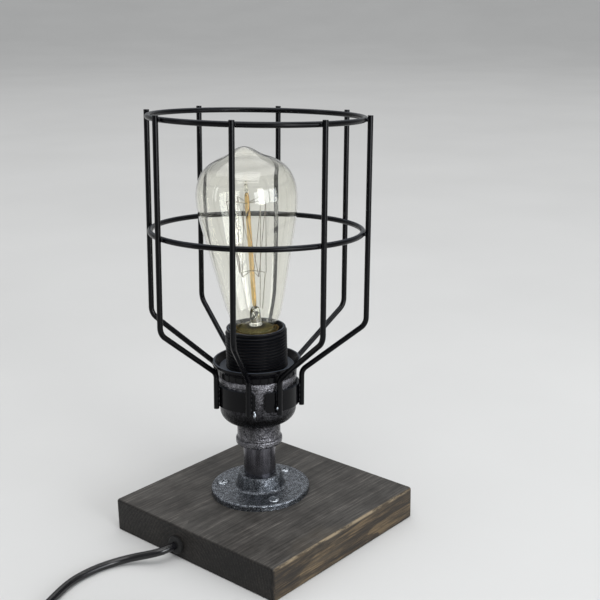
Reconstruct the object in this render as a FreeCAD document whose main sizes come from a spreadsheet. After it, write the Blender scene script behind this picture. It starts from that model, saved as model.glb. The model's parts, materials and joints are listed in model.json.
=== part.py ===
import FreeCAD, Part
import math
import os

import Sketcher
from FreeCAD import Placement, Rotation, Vector

# Table lamp: a cast pipe fitting on a floor flange and a wooden block, with a lampholder in its
# bell, a bare glass bulb, a cage of eight bent rods, and a cord with a switch and a plug.
# Origin at the middle of the underside of the block, Z up, millimetres. X runs along the grain.

doc = FreeCAD.newDocument("pipe_table_lamp")
sheet = doc.addObject("Spreadsheet::Sheet", "Sizes")

SIZES = {
    "Wooden base": {
        "base_length": 138.0,
        "base_width": 143.0,
        "base_thickness": 22.0,
        "base_top_round": 1.6,
        "base_corner_round": 2.2,
        "base_bottom_round": 1.0,
        "lamp_x": 2.2,
        "lamp_y": 6.9,
        "well_radius": 10.0,
        "well_floor": 5.0,
    },
    "Cord bore and grommet": {
        "bore_room": 2.0,
        "bore_y": 12.7,
        "bore_z": 9.0,
        "grommet_rim": 1.5,
        "grommet_lip": 2.5,
        "grommet_sleeve": 9.0,
        "grommet_gap": 0.1,
    },
    "Floor flange": {
        "flange_radius": 33.0,
        "flange_thickness": 4.0,
        "flange_height": 14.0,
        "flange_rim_round": 1.2,
        "hub_wall": 3.85,
        "hub_flare": 1.7,
        "hub_foot_round": 2.0,
        "screw_circle": 25.75,
        "screw_first_angle": 124.0,
        "screw_hole_radius": 2.3,
        "countersink": 1.9,
    },
    "Flange screws": {
        "screw_shank_radius": 1.9,
        "screw_head_radius": 3.9,
        "screw_head_height": 2.0,
        "screw_length": 20.0,
        "screw_gap": 0.1,
        "screw_sink": 0.25,
        "screw_recess": 1.2,
    },
    "Pipe nipple": {
        "pipe_radius": 10.65,
        "pipe_wall": 2.65,
        "pipe_length": 50.0,
        "pipe_lift": 2.0,
        "thread_gap": 0.05,
    },
    "Reducing socket": {
        "pipe_engagement": 16.4,
        "socket_height": 49.6,
        "small_bead": 1.1,
        "small_bead_height": 3.8,
        "neck_wall": 3.65,
        "neck_height": 15.4,
        "shoulder_rise": 4.0,
        "shoulder_round": 8.0,
        "bell_wall": 4.0,
        "holder_gap": 1.4,
        "bell_floor": 22.4,
        "bell_floor_round": 4.0,
        "mouth_bead": 0.8,
        "mouth_bead_height": 4.0,
        "bead_round": 1.2,
    },
    "Cage": {
        "cage_lean": 3.5,
        "cage_lean_toward": 20.6,
        "band_width": 13.4,
        "band_steel": 1.9,
        "band_gap_angle": -132.7,
        "band_gap": 6.2,
        "band_drop": 20.3,
        "band_clearance": 0.5,
        "rod_radius": 1.75,
        "weld_gap": 0.05,
        "rib_first_angle": -147.6,
        "rib_tail": 1.2,
        "rib_low_bend": 15.7,
        "rib_high_bend": 48.9,
        "rib_low_round": 7.0,
        "rib_high_round": 9.0,
        "rib_tip": 2.7,
        "ring_radius": 67.2,
        "middle_ring_height": 107.2,
        "top_ring_height": 178.3,
        "rib_1_foot_turn": 0.0,
        "rib_2_foot_turn": -5.0,
        "rib_3_foot_turn": 0.0,
        "rib_4_foot_turn": 0.0,
        "rib_5_foot_turn": 0.0,
        "rib_6_foot_turn": 0.0,
        "rib_7_foot_turn": -8.0,
        "rib_8_foot_turn": -9.0,
    },
    "Lampholder": {
        "bush_rim": 3.35,
        "bush_flange": 2.0,
        "bush_plug": 5.0,
        "entry_room": 1.5,
        "entry_wall": 1.0,
        "entry_length": 9.3,
        "seat_gap": 0.1,
        "dome_step": 0.4,
        "dome_height": 18.0,
        "dome_wall": 2.2,
        "dome_taper": 2.0,
        "insert_gap": 0.8,
        "insert_height": 23.4,
        "sleeve_wall": 4.2,
        "sleeve_thread": 0.8,
        "sleeve_height": 37.9,
        "sleeve_gap": 0.4,
        "sleeve_skirt": 9.0,
        "sleeve_pitch": 2.0,
        "sleeve_turns": 14,
        "sleeve_lip": 1.2,
        "shell_gap": 0.4,
        "shell_thread": 1.1,
        "shell_sheet": 0.4,
        "shell_height": 23.0,
        "cap_pitch": 3.63,
    },
    "Shade ring": {
        "ring_gap": 0.1,
        "ring_seat": 0.2,
        "ring_inset": 0.2,
        "ring_skirt_height": 3.5,
        "ring_flare": 3.1,
        "ring_rim_height": 7.0,
        "ring_rim_thickness": 1.4,
        "ring_height": 8.5,
        "ring_floor": 4.6,
        "grip_count": 30,
        "grip_radius": 0.5,
    },
    "Bulb": {
        "bulb_lean": 2.3,
        "bulb_lean_toward": 128.9,
        "bulb_sink": 0.7,
        "cap_height": 22.0,
        "cap_crest": 13.1,
        "cap_thread": 0.9,
        "cap_sheet": 0.4,
        "cap_turns": 5,
        "insulator_height": 3.3,
        "insulator_inset": 1.8,
        "contact_radius": 4.6,
        "contact_height": 1.0,
        "glass_wall": 0.8,
        "glass_gap": 0.5,
        "glass_throat": 16.0,
        "glass_throat_height": 6.0,
        "glass_radius": 32.0,
        "glass_widest_height": 86.0,
        "glass_dome_radius": 11.0,
        "glass_dome_height": 110.4,
        "glass_tip_height": 117.3,
        "stem_gap": 0.3,
        "press_radius": 4.4,
        "press_height": 18.0,
        "rod_glass_radius": 1.5,
        "rod_glass_height": 89.0,
        "support_wire": 0.25,
        "filament_wire": 0.18,
        "top_hook_radius": 13.0,
        "top_hook_height": 84.0,
        "low_hook_radius": 9.0,
        "low_hook_height": 36.0,
        "strand_count": 10,
    },
    "Cord": {
        "cord_radius": 2.5,
        "conductor_radius": 1.1,
        "exit_lead": 7.0,
        "coil_x": -61.5,
        "coil_y": -134.5,
        "coil_start_angle": 39.0,
        "coil_outer": 40.3,
        "coil_gap": 0.5,
        "coil_half_turns": 7,
        "coil_climb_inset": 1.4,
        "coil_lead": 5.0,
        "coil_run": 9.0,
        "tie_width": 9.0,
        "tie_strap": 0.9,
        "tie_gap": 0.4,
    },
    "Switch": {
        "switch_x": -94.7,
        "switch_y": -32.8,
        "switch_angle": -51.0,
        "switch_run": 11.0,
        "switch_length": 62.0,
        "switch_width": 27.0,
        "switch_low": 7.0,
        "switch_high": 8.0,
        "switch_corner": 9.0,
        "switch_edge": 1.8,
        "switch_wall": 2.2,
        "switch_top": 3.0,
        "rocker_length": 15.4,
        "rocker_width": 10.4,
        "rocker_rise": 2.4,
        "rocker_depth": 3.6,
        "rocker_gap": 0.4,
        "rocker_tilt": 8.0,
        "axle_radius": 0.8,
        "axle_gap": 0.05,
        "axle_drop": 1.8,
        "axle_length": 18.0,
    },
    "Plug": {
        "plug_x": -123.6,
        "plug_y": -82.7,
        "plug_angle": 102.0,
        "plug_run": 7.3,
        "boot_length": 24.0,
        "boot_wall": 0.9,
        "boot_flare": 2.0,
        "plug_length": 36.0,
        "plug_width": 35.3,
        "plug_tail_width": 13.0,
        "plug_thickness": 13.7,
        "plug_round": 2.6,
        "pin_radius": 2.0,
        "pin_length": 19.0,
        "pin_spacing": 18.6,
        "pin_root": 6.0,
        "sleeve_length": 10.0,
        "sleeve_thickness": 0.35,
    },
}

# Corners of the lines that the cord's free stretches follow, chosen by hand. X and Y are measured
# from where the cord leaves the grommet, and the height from where the cord lies on the table.
LEAD_ROUTE = [
    (-13.5, 5.3, 4.8),
    (-20.5, 15.8, 1.7),
    (-30.5, 22.8, 0.1),
    (-44.5, 25.9, 0.0),
    (-61.5, 25.3, 0.0),
    (-80.5, 17.8, 0.0),
    (-94.0, 11.2, 0.0),
    (-102.0, 1.0, 0.0),
    (-104.7, -11.7, 1.1),
]
TAIL_ROUTE = [
    (-108.2, -138.6, 4.6),
    (-114.2, -125.8, 1.2),
    (-118.2, -112.5, 0.0),
    (-120.6, -100.0, 1.6),
]


class Size:
    """A cell of the sheet, or a sum made of cells, as a number and as an expression."""

    def __init__(self, text, number):
        self.text = text
        self.number = number

    def join(self, sign, other, turned_round=False):
        other = other if isinstance(other, Size) else Size(repr(other), other)
        first, second = (other, self) if turned_round else (self, other)
        text = "(%s %s %s)" % (first.text, sign, second.text)
        results = {
            "+": lambda a, b: a + b,
            "-": lambda a, b: a - b,
            "*": lambda a, b: a * b,
            "/": lambda a, b: a / b,
        }
        return Size(text, results[sign](first.number, second.number))

    def __add__(self, other):
        return self.join("+", other)

    def __radd__(self, other):
        return self.join("+", other, True)

    def __sub__(self, other):
        return self.join("-", other)

    def __rsub__(self, other):
        return self.join("-", other, True)

    def __mul__(self, other):
        return self.join("*", other)

    def __rmul__(self, other):
        return self.join("*", other, True)

    def __truediv__(self, other):
        return self.join("/", other)


class Cells:
    """The sheet's cells by name, such as cell.base_length."""

    def __init__(self):
        self.row = 1

    def title(self, words):
        sheet.set("A%d" % self.row, words)
        self.row += 1

    def add(self, alias, number):
        sheet.set("A%d" % self.row, alias.replace("_", " "))
        sheet.set("B%d" % self.row, str(number))
        sheet.setAlias("B%d" % self.row, alias)
        setattr(self, alias, Size("Sizes." + alias, float(number)))
        self.row += 1


cell = Cells()
for heading, group in SIZES.items():
    cell.title(heading)
    for alias, number in group.items():
        cell.add(alias, number)
doc.recompute()

pieces = []


def as_size(value):
    return value if isinstance(value, Size) else Size(repr(float(value)), float(value))


def bind(piece, path, value):
    """Ties one property of a piece to the sheet."""
    piece.setExpression(path, as_size(value).text)


def seat(piece, x=0.0, y=0.0, z=0.0, turn=0.0, axis=Vector(0, 0, 1)):
    """Places a piece, with its place tied to the sheet, turned about the given axis."""
    piece.Placement = Placement(Vector(0, 0, 0), Rotation(axis, 1.0))
    for path, value in (("x", x), ("y", y), ("z", z)):
        bind(piece, ".Placement.Base." + path, value)
    bind(piece, ".Placement.Rotation.Angle", turn)


def keep(piece, label):
    """Counts a piece as one of the lamp's own, under the name of its file."""
    piece.Label = label
    pieces.append(piece)
    return piece


def plane(body, role):
    return next(part for part in body.Origin.OriginFeatures if part.Role == role)


def new_body(label):
    return keep(doc.addObject("PartDesign::Body", label), label)


def new_sketch(body, name, role, lift=0.0):
    """A sketch on one of the body's own planes, lifted along that plane's normal."""
    sketch = body.newObject("Sketcher::SketchObject", name)
    sketch.AttachmentSupport = [(plane(body, role), "")]
    sketch.MapMode = "FlatFace"
    bind(sketch, ".AttachmentOffset.Base.z", lift)
    return sketch


def outline(sketch, corners):
    """A closed outline whose every corner is held by its two distances from the origin."""
    points = [(as_size(across), as_size(up)) for across, up in corners]
    flat = [Vector(across.number, up.number, 0) for across, up in points]
    first = sketch.GeometryCount
    count = len(flat)
    for index in range(count):
        sketch.addGeometry(Part.LineSegment(flat[index], flat[(index + 1) % count]), False)
    for index in range(count):
        line = first + index
        following = first + (index + 1) % count
        sketch.addConstraint(Sketcher.Constraint("Coincident", line, 2, following, 1))
    for index, (across, up) in enumerate(points):
        line = first + index
        hold(sketch, "DistanceX", line, across, -2)
        hold(sketch, "DistanceY", line, up, -1)


def hold(sketch, kind, line, value, axis):
    """One distance of a corner; a corner on an axis is held to that axis."""
    if value.number == 0.0:
        sketch.addConstraint(Sketcher.Constraint("PointOnObject", line, 1, axis))
        return
    rule = sketch.addConstraint(Sketcher.Constraint(kind, -1, 1, line, 1, value.number))
    sketch.setExpression("Constraints[%d]" % rule, value.text)


def circle(sketch, across, up, radius):
    """A circle held by its centre and its radius."""
    across, up, radius = as_size(across), as_size(up), as_size(radius)
    middle = Vector(across.number, up.number, 0)
    ring = sketch.addGeometry(Part.Circle(middle, Vector(0, 0, 1), radius.number), False)
    for kind, value, axis in (("DistanceX", across, -2), ("DistanceY", up, -1)):
        if value.number == 0.0:
            sketch.addConstraint(Sketcher.Constraint("PointOnObject", ring, 3, axis))
        else:
            rule = sketch.addConstraint(Sketcher.Constraint(kind, -1, 1, ring, 3, value.number))
            sketch.setExpression("Constraints[%d]" % rule, value.text)
    rule = sketch.addConstraint(Sketcher.Constraint("Radius", ring, radius.number))
    sketch.setExpression("Constraints[%d]" % rule, radius.text)


def rectangle(sketch, length, width, across=0.0, up=0.0):
    """A rectangle about a middle point."""
    across, up = as_size(across), as_size(up)
    half_length = as_size(length) / 2
    half_width = as_size(width) / 2
    outline(sketch, [
        (across - half_length, up - half_width),
        (across + half_length, up - half_width),
        (across + half_length, up + half_width),
        (across - half_length, up + half_width),
    ])


def pad(body, name, sketch, length, midplane=False):
    feature = body.newObject("PartDesign::Pad", name)
    feature.Profile = sketch
    feature.Midplane = midplane
    bind(feature, "Length", length)
    doc.recompute()
    return feature


def pocket(body, name, sketch, depth=None, upward=False):
    """A cut below the sketch's plane, or above it, right through where no depth is given."""
    before = body.Shape.Volume
    feature = body.newObject("PartDesign::Pocket", name)
    feature.Profile = sketch
    feature.Reversed = upward
    if depth is None:
        feature.Type = "ThroughAll"
    else:
        bind(feature, "Length", depth)
    doc.recompute()
    if body.Shape.Volume >= before - 1e-6:
        raise ValueError(name + " cuts nothing")
    return feature


def dress(body, name, kind, edges, value):
    """A fillet or chamfer on the named edges of the body so far."""
    base = body.Tip
    feature = body.newObject("PartDesign::" + kind, name)
    feature.Base = (base, edges)
    bind(feature, "Radius" if kind == "Fillet" else "Size", value)
    doc.recompute()
    return feature


def edges_where(shape, test):
    return ["Edge%d" % (i + 1) for i, edge in enumerate(shape.Edges) if test(edge)]


def near(one, other, reach=1e-3):
    return abs(one - as_size(other).number) < reach


def ring_edges(shape, radius, height):
    """The round edges about the Z axis at a radius and a height."""
    def test(edge):
        curve = edge.Curve
        if not isinstance(curve, Part.Circle):
            return False
        on_axis = math.hypot(curve.Center.x, curve.Center.y) < 1e-3
        return on_axis and near(curve.Radius, radius) and near(curve.Center.z, height)
    return edges_where(shape, test)


def level_edges(shape, height):
    """The edges that lie flat at a height."""
    def test(edge):
        box = edge.BoundBox
        return near(box.ZMin, height) and near(box.ZMax, height)
    return edges_where(shape, test)


def upright_edges(shape):
    def test(edge):
        box = edge.BoundBox
        return box.XLength < 1e-3 and box.YLength < 1e-3
    return edges_where(shape, test)


def turned(label, corners):
    """A body turned about its own Z axis from an outline of radii and heights."""
    body = new_body(label)
    sketch = new_sketch(body, label + "_outline", "XZ_Plane")
    outline(sketch, corners)
    feature = body.newObject("PartDesign::Revolution", label + "_turn")
    feature.Profile = sketch
    feature.ReferenceAxis = (sketch, ["V_Axis"])
    feature.Angle = 360.0
    doc.recompute()
    return body


def made(label, shape, place=None):
    """A piece whose shape is worked out here from the sheet's numbers."""
    piece = keep(doc.addObject("Part::Feature", label), label)
    piece.Shape = shape
    piece.Placement = place or Placement()
    return piece


def rounded_path(points, share=0.45, radii=None, name=None):
    """Straight runs joined by tangent arcs, as large as the runs beside each corner allow."""
    corners = [Vector(*point) for point in points]
    edges = []
    start = corners[0]
    tightest = None
    for index in range(1, len(corners) - 1):
        corner = corners[index]
        back = corners[index - 1] - corner
        ahead = corners[index + 1] - corner
        turn = math.pi - back.getAngle(ahead)
        if radii:
            radius = radii[index - 1]
        else:
            radius = share * min(back.Length, ahead.Length) / math.tan(turn / 2)
        tightest = radius if tightest is None else min(tightest, radius)
        reach = radius * math.tan(turn / 2)
        back.normalize()
        ahead.normalize()
        enter = corner + back * reach
        leave = corner + ahead * reach
        inward = (back + ahead).normalize()
        middle = corner + inward * radius * (1 / math.cos(turn / 2) - 1)
        edges.append(Part.LineSegment(start, enter).toShape())
        edges.append(Part.Arc(enter, middle, leave).toShape())
        start = leave
        if name:
            print("%s corner %d: radius %.1f mm" % (name, index, radius))
    edges.append(Part.LineSegment(start, corners[-1]).toShape())
    return Part.Wire(edges)


def tube(path, radius, bore=0.0):
    """A round tube along a path."""
    first = path.Edges[0]
    start = first.valueAt(first.FirstParameter)
    along = first.tangentAt(first.FirstParameter)

    def swept(size):
        profile = Part.Wire(Part.makeCircle(size, start, along))
        return path.makePipeShell([profile], True, False)

    solid = swept(radius)
    return solid.cut(swept(bore)) if bore else solid


def biarc(start, leaving, end, arriving):
    """Two arcs that join two points in the two given directions without a kink."""
    span = end - start
    sum_of = leaving + arriving
    bend = 2 * (1 - leaving.dot(arriving))
    lean = span.dot(sum_of)
    reach = (math.sqrt(lean * lean + bend * span.dot(span)) - lean) / bend
    first = start + leaving * reach
    second = end - arriving * reach
    join = (first + second) * 0.5
    return [arc_by_corner(start, first, join), arc_by_corner(join, second, end)]


def arc_by_corner(start, corner, end):
    """The arc between two points whose end tangents meet at a corner."""
    middle = (start + end) * 0.5
    half_chord = (end - start).Length / 2
    rise = corner - middle
    half_turn = math.atan2(rise.Length, half_chord)
    top = middle + rise.normalize() * half_chord * math.tan(half_turn / 2)
    return Part.Arc(start, top, end).toShape()


def rod_between(start, end, radius):
    """A straight round wire."""
    return Part.makeCylinder(radius, (end - start).Length, start, end - start)


def polar(radius, angle, height=0.0):
    """A point by its radius, its angle in degrees and its height."""
    turn = math.radians(angle)
    return Vector(radius * math.cos(turn), radius * math.sin(turn), height)


# Radii that follow one another: outward from the bulb's cap, then from the pipe and the cord.
cap_root = cell.cap_crest - cell.cap_thread
insulator_radius = cap_root - cell.insulator_inset
glass_neck = cell.cap_crest - cell.cap_sheet - cell.glass_gap
shell_inner = cell.cap_crest + cell.shell_gap
shell_outer = shell_inner + cell.shell_thread
sleeve_bore = shell_outer + cell.sleeve_gap
sleeve_root = sleeve_bore + cell.sleeve_wall
sleeve_crest = sleeve_root + cell.sleeve_thread
dome_radius = sleeve_root + cell.dome_step
skirt_bore = dome_radius - cell.dome_wall
insert_radius = skirt_bore - cell.insert_gap
bell_bore = dome_radius + cell.holder_gap
bell_radius = bell_bore + cell.bell_wall
mouth_bead_radius = bell_radius + cell.mouth_bead
ring_skirt_radius = mouth_bead_radius - cell.ring_inset
ring_rim_radius = ring_skirt_radius + cell.ring_flare
pipe_bore = cell.pipe_radius - cell.pipe_wall
hub_top_radius = cell.pipe_radius + cell.hub_wall
hub_base_radius = hub_top_radius + cell.hub_flare
neck_radius = cell.pipe_radius + cell.neck_wall
small_bead_radius = neck_radius + cell.small_bead
bush_flange_radius = cell.pipe_radius + cell.bush_rim
bore_radius = cell.cord_radius + cell.bore_room
grommet_radius = bore_radius + cell.grommet_rim
entry_bore = cell.cord_radius + cell.entry_room
entry_radius = entry_bore + cell.entry_wall
boot_thin = cell.cord_radius + cell.boot_wall
boot_thick = boot_thin + cell.boot_flare

# Heights on the lamp's own axis, from the underside of the block.
flange_top = cell.base_thickness + cell.flange_height
pipe_bottom = cell.base_thickness + cell.pipe_lift
pipe_top = pipe_bottom + cell.pipe_length
socket_bottom = pipe_top - cell.pipe_engagement
socket_mouth = socket_bottom + cell.socket_height
bell_floor = socket_bottom + cell.bell_floor
bush_top = bell_floor + cell.bush_flange + cell.seat_gap
dome_bottom = bush_top + cell.seat_gap
sleeve_bottom = dome_bottom + cell.dome_height + cell.seat_gap
holder_rim = sleeve_bottom + cell.sleeve_height
insert_bottom = dome_bottom + cell.dome_wall + cell.seat_gap
insert_top = insert_bottom + cell.insert_height
cap_rim = holder_rim - cell.bulb_sink
cap_bottom = cap_rim - cell.cap_height
contact_bottom = cap_bottom - cell.insulator_height - cell.contact_height
band_middle = socket_mouth - cell.band_drop + cell.band_width / 2


def on_axis(piece, height, turn=0.0):
    """Seats a piece on the lamp's own axis."""
    seat(piece, cell.lamp_x, cell.lamp_y, height, turn)


def make_wooden_base():
    body = new_body("wooden_base")
    block = new_sketch(body, "base_outline", "XY_Plane")
    rectangle(block, cell.base_length, cell.base_width)
    pad(body, "base_block", block, cell.base_thickness)
    dress(body, "base_corners", "Fillet", upright_edges(body.Shape), cell.base_corner_round)
    top = level_edges(body.Shape, cell.base_thickness)
    dress(body, "base_top_edges", "Fillet", top, cell.base_top_round)
    dress(body, "base_bottom_edges", "Fillet", level_edges(body.Shape, 0), cell.base_bottom_round)

    well = new_sketch(body, "cable_well_outline", "XY_Plane", cell.base_thickness)
    circle(well, cell.lamp_x, cell.lamp_y, cell.well_radius)
    pocket(body, "cable_well", well, cell.base_thickness - cell.well_floor)

    bore = new_sketch(body, "cord_bore_outline", "YZ_Plane", cell.lamp_x)
    circle(bore, cell.bore_y, cell.bore_z, bore_radius)
    pocket(body, "cord_bore", bore, cell.base_length / 2 + cell.lamp_x + 1)

    pilot = new_sketch(body, "pilot_outline", "XY_Plane", cell.base_thickness)
    for x, y in screw_places():
        circle(pilot, cell.lamp_x + x, cell.lamp_y + y, cell.screw_shank_radius + cell.screw_gap)
    depth = cell.screw_length + cell.screw_sink + cell.screw_gap - cell.flange_thickness
    pocket(body, "pilot_holes", pilot, depth)


def screw_places():
    """Centres of the three flange screws, from the lamp's axis."""
    places = []
    for index in range(3):
        angle = cell.screw_first_angle + 120.0 * index
        turn = math.radians(angle.number)
        x_text = "(%s * cos(%s * 1deg))" % (cell.screw_circle.text, angle.text)
        y_text = "(%s * sin(%s * 1deg))" % (cell.screw_circle.text, angle.text)
        x = Size(x_text, cell.screw_circle.number * math.cos(turn))
        y = Size(y_text, cell.screw_circle.number * math.sin(turn))
        places.append((x, y))
    return places


def make_grommet():
    sleeve = bore_radius - cell.grommet_gap
    hole = cell.cord_radius + cell.grommet_gap
    body = turned("cord_grommet", [
        (hole, cell.grommet_sleeve * -1),
        (sleeve, cell.grommet_sleeve * -1),
        (sleeve, 0),
        (grommet_radius, 0),
        (grommet_radius, cell.grommet_lip * 0.6),
        (grommet_radius - 1.4, cell.grommet_lip),
        (hole, cell.grommet_lip),
    ])
    seat(body, cell.base_length / -2, cell.bore_y, cell.bore_z, -90.0, Vector(0, 1, 0))


def make_floor_flange():
    bore = cell.pipe_radius + cell.thread_gap
    body = turned("floor_flange", [
        (bore, 0),
        (cell.flange_radius, 0),
        (cell.flange_radius, cell.flange_thickness),
        (hub_base_radius, cell.flange_thickness),
        (hub_top_radius, cell.flange_height),
        (bore, cell.flange_height),
    ])
    rim = ring_edges(body.Shape, cell.flange_radius, cell.flange_thickness)
    dress(body, "flange_rim", "Fillet", rim, cell.flange_rim_round)
    foot = ring_edges(body.Shape, hub_base_radius, cell.flange_thickness)
    dress(body, "hub_foot", "Fillet", foot, cell.hub_foot_round)
    lip = ring_edges(body.Shape, hub_top_radius, cell.flange_height)
    dress(body, "hub_lip", "Fillet", lip, cell.flange_rim_round)

    hole = new_sketch(body, "screw_hole_outline", "XY_Plane", cell.flange_thickness)
    circle(hole, cell.screw_circle, 0, cell.screw_hole_radius)
    cut = pocket(body, "screw_hole", hole)
    pattern = body.newObject("PartDesign::PolarPattern", "screw_holes")
    pattern.Originals = [cut]
    pattern.Axis = (hole, ["N_Axis"])
    pattern.Angle = 360.0
    pattern.Occurrences = 3
    body.Tip = pattern
    doc.recompute()

    def rim_of_hole(edge):
        curve = edge.Curve
        if not isinstance(curve, Part.Circle):
            return False
        top = near(curve.Center.z, cell.flange_thickness)
        return top and near(curve.Radius, cell.screw_hole_radius)

    dress(body, "countersinks", "Chamfer", edges_where(body.Shape, rim_of_hole), cell.countersink)
    on_axis(body, cell.base_thickness, cell.screw_first_angle)


def make_flange_screws():
    """Countersunk wood screws with a cross recess, in one piece list entry."""
    head = cell.screw_head_radius.number
    shank = cell.screw_shank_radius.number
    height = cell.screw_head_height.number
    length = cell.screw_length.number
    recess = cell.screw_recess.number
    taper = Part.makeCone(shank, head, height, Vector(0, 0, -height))
    body = Part.makeCylinder(shank, length - height - 4, Vector(0, 0, 4 - length))
    point = Part.makeCone(0.4, shank, 4, Vector(0, 0, -length))
    screw = taper.fuse([body, point]).removeSplitter()
    for size in ((4.2, 1.0), (1.0, 4.2)):
        corner = Vector(-size[0] / 2, -size[1] / 2, -recess)
        screw = screw.cut(Part.makeBox(size[0], size[1], 2 * recess, corner))
    sunk = (cell.base_thickness + cell.flange_thickness - cell.screw_sink).number
    screws = []
    for index, (x, y) in enumerate(screw_places()):
        place = Placement(
            Vector(cell.lamp_x.number + x.number, cell.lamp_y.number + y.number, sunk),
            Rotation(Vector(0, 0, 1), 20.0 + 35.0 * index),
        )
        screws.append(screw.transformed(place.toMatrix()))
    made("flange_screws", Part.makeCompound(screws))


def make_pipe_nipple():
    outer = doc.addObject("Part::Cylinder", "pipe_outside")
    inner = doc.addObject("Part::Cylinder", "pipe_inside")
    for part, radius in ((outer, cell.pipe_radius), (inner, pipe_bore)):
        bind(part, "Radius", radius)
        bind(part, "Height", cell.pipe_length)
    cut = doc.addObject("Part::Cut", "pipe_wall")
    cut.Base = outer
    cut.Tool = inner
    on_axis(keep(cut, "pipe_nipple"), pipe_bottom)


def make_reducing_socket():
    small_bore = cell.pipe_radius + cell.thread_gap
    shoulder = cell.neck_height + cell.shoulder_rise
    body = turned("reducing_socket", [
        (small_bore, 0),
        (small_bead_radius, 0),
        (small_bead_radius, cell.small_bead_height),
        (neck_radius, cell.small_bead_height + 0.8),
        (neck_radius, cell.neck_height),
        (bell_radius, shoulder),
        (bell_radius, cell.socket_height - cell.mouth_bead_height),
        (mouth_bead_radius, cell.socket_height - cell.mouth_bead_height + 0.6),
        (mouth_bead_radius, cell.socket_height),
        (bell_bore, cell.socket_height),
        (bell_bore, cell.bell_floor),
        (small_bore, cell.bell_floor),
    ])
    shoulder_edge = ring_edges(body.Shape, bell_radius, shoulder)
    dress(body, "shoulder", "Fillet", shoulder_edge, cell.shoulder_round)
    floor_edge = ring_edges(body.Shape, bell_bore, cell.bell_floor)
    dress(body, "bell_floor_corner", "Fillet", floor_edge, cell.bell_floor_round)
    beads = ring_edges(body.Shape, mouth_bead_radius, cell.socket_height)
    beads += ring_edges(body.Shape, small_bead_radius, 0)
    beads += ring_edges(body.Shape, small_bead_radius, cell.small_bead_height)
    dress(body, "beads", "Fillet", beads, cell.bead_round)
    on_axis(body, socket_bottom)


def cage_place(turn=0.0):
    """The cage leans a little on the bell: its pieces turn about the middle of the band."""
    lean_axis = polar(1, cell.cage_lean_toward.number + 90)
    lean = Rotation(lean_axis, cell.cage_lean.number)
    spot = Vector(cell.lamp_x.number, cell.lamp_y.number, band_middle.number)
    return Placement(spot, lean.multiply(Rotation(Vector(0, 0, 1), turn)))


band_inner = bell_radius + cell.band_clearance
band_outer = band_inner + cell.band_steel
rib_radius_low = band_outer + cell.rod_radius + cell.weld_gap
rib_radius_high = cell.ring_radius + cell.rod_radius * 2 + cell.weld_gap


def make_cage_band():
    body = new_body("cage_band")
    hoop = new_sketch(body, "band_outline", "XY_Plane")
    circle(hoop, 0, 0, band_outer)
    circle(hoop, 0, 0, band_inner)
    pad(body, "band_hoop", hoop, cell.band_width, midplane=True)
    split = new_sketch(body, "band_split_outline", "XY_Plane", cell.band_width / -2 - 1)
    rectangle(split, band_outer, cell.band_gap, across=band_outer)
    pocket(body, "band_split", split, cell.band_width + 2, upward=True)

    def free_corner(edge):
        box = edge.BoundBox
        at_gap = box.ZLength < 1e-3 and near(abs(box.Center.y), cell.band_gap / 2)
        return at_gap and box.YLength < 1e-3

    dress(body, "band_corners", "Fillet", edges_where(body.Shape, free_corner), 2.5)
    place = cage_place(cell.band_gap_angle.number)
    body.Placement = place


def make_cage_ribs():
    """Eight rods with two bends each, welded outside the rings and, less evenly, to the band."""
    low = rib_radius_low.number
    high = rib_radius_high.number
    tip = cell.top_ring_height.number + cell.rib_tip.number
    tail = cell.band_width.number / 2 + cell.rib_tail.number
    foot_turns = [
        cell.rib_1_foot_turn, cell.rib_2_foot_turn, cell.rib_3_foot_turn, cell.rib_4_foot_turn,
        cell.rib_5_foot_turn, cell.rib_6_foot_turn, cell.rib_7_foot_turn, cell.rib_8_foot_turn,
    ]
    for index, foot_turn in enumerate(foot_turns):
        path = rounded_path(
            [
                polar(low, foot_turn.number, -tail),
                polar(low, foot_turn.number, cell.rib_low_bend.number),
                Vector(high, 0, cell.rib_high_bend.number),
                Vector(high, 0, tip),
            ],
            radii=[cell.rib_low_round.number, cell.rib_high_round.number],
        )
        angle = cell.rib_first_angle.number + 360.0 * index / len(foot_turns)
        rod = tube(path, cell.rod_radius.number)
        made("cage_rib_%d" % (index + 1), rod, cage_place(angle))


def make_cage_rings():
    for label, height in (
        ("cage_ring_middle", cell.middle_ring_height),
        ("cage_ring_top", cell.top_ring_height),
    ):
        hoop = doc.addObject("Part::Torus", label)
        bind(hoop, "Radius1", cell.ring_radius)
        bind(hoop, "Radius2", cell.rod_radius)
        keep(hoop, label)
        place = cage_place()
        hoop.Placement = place.multiply(Placement(Vector(0, 0, height.number), Rotation()))


def make_entry():
    bush_bore = entry_radius + cell.thread_gap
    body = turned("entry_bush", [
        (bush_bore, cell.bush_plug * -1),
        (cell.pipe_radius, cell.bush_plug * -1),
        (cell.pipe_radius, 0),
        (bush_flange_radius, 0),
        (bush_flange_radius, cell.bush_flange),
        (bush_bore, cell.bush_flange),
    ])
    on_axis(body, bell_floor + cell.seat_gap)
    body = turned("entry_nipple", [
        (entry_bore, 0),
        (entry_radius, 0),
        (entry_radius, cell.entry_length),
        (entry_bore, cell.entry_length),
    ])
    on_axis(body, bell_floor - cell.bush_plug)


def make_holder_dome():
    hole = entry_radius + cell.thread_gap
    body = turned("holder_dome", [
        (hole, 0),
        (dome_radius - cell.dome_taper, 0),
        (dome_radius, cell.dome_taper),
        (dome_radius, cell.dome_height),
        (skirt_bore, cell.dome_height),
        (skirt_bore, cell.dome_wall),
        (hole, cell.dome_wall),
    ])
    on_axis(body, dome_bottom)


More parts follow.
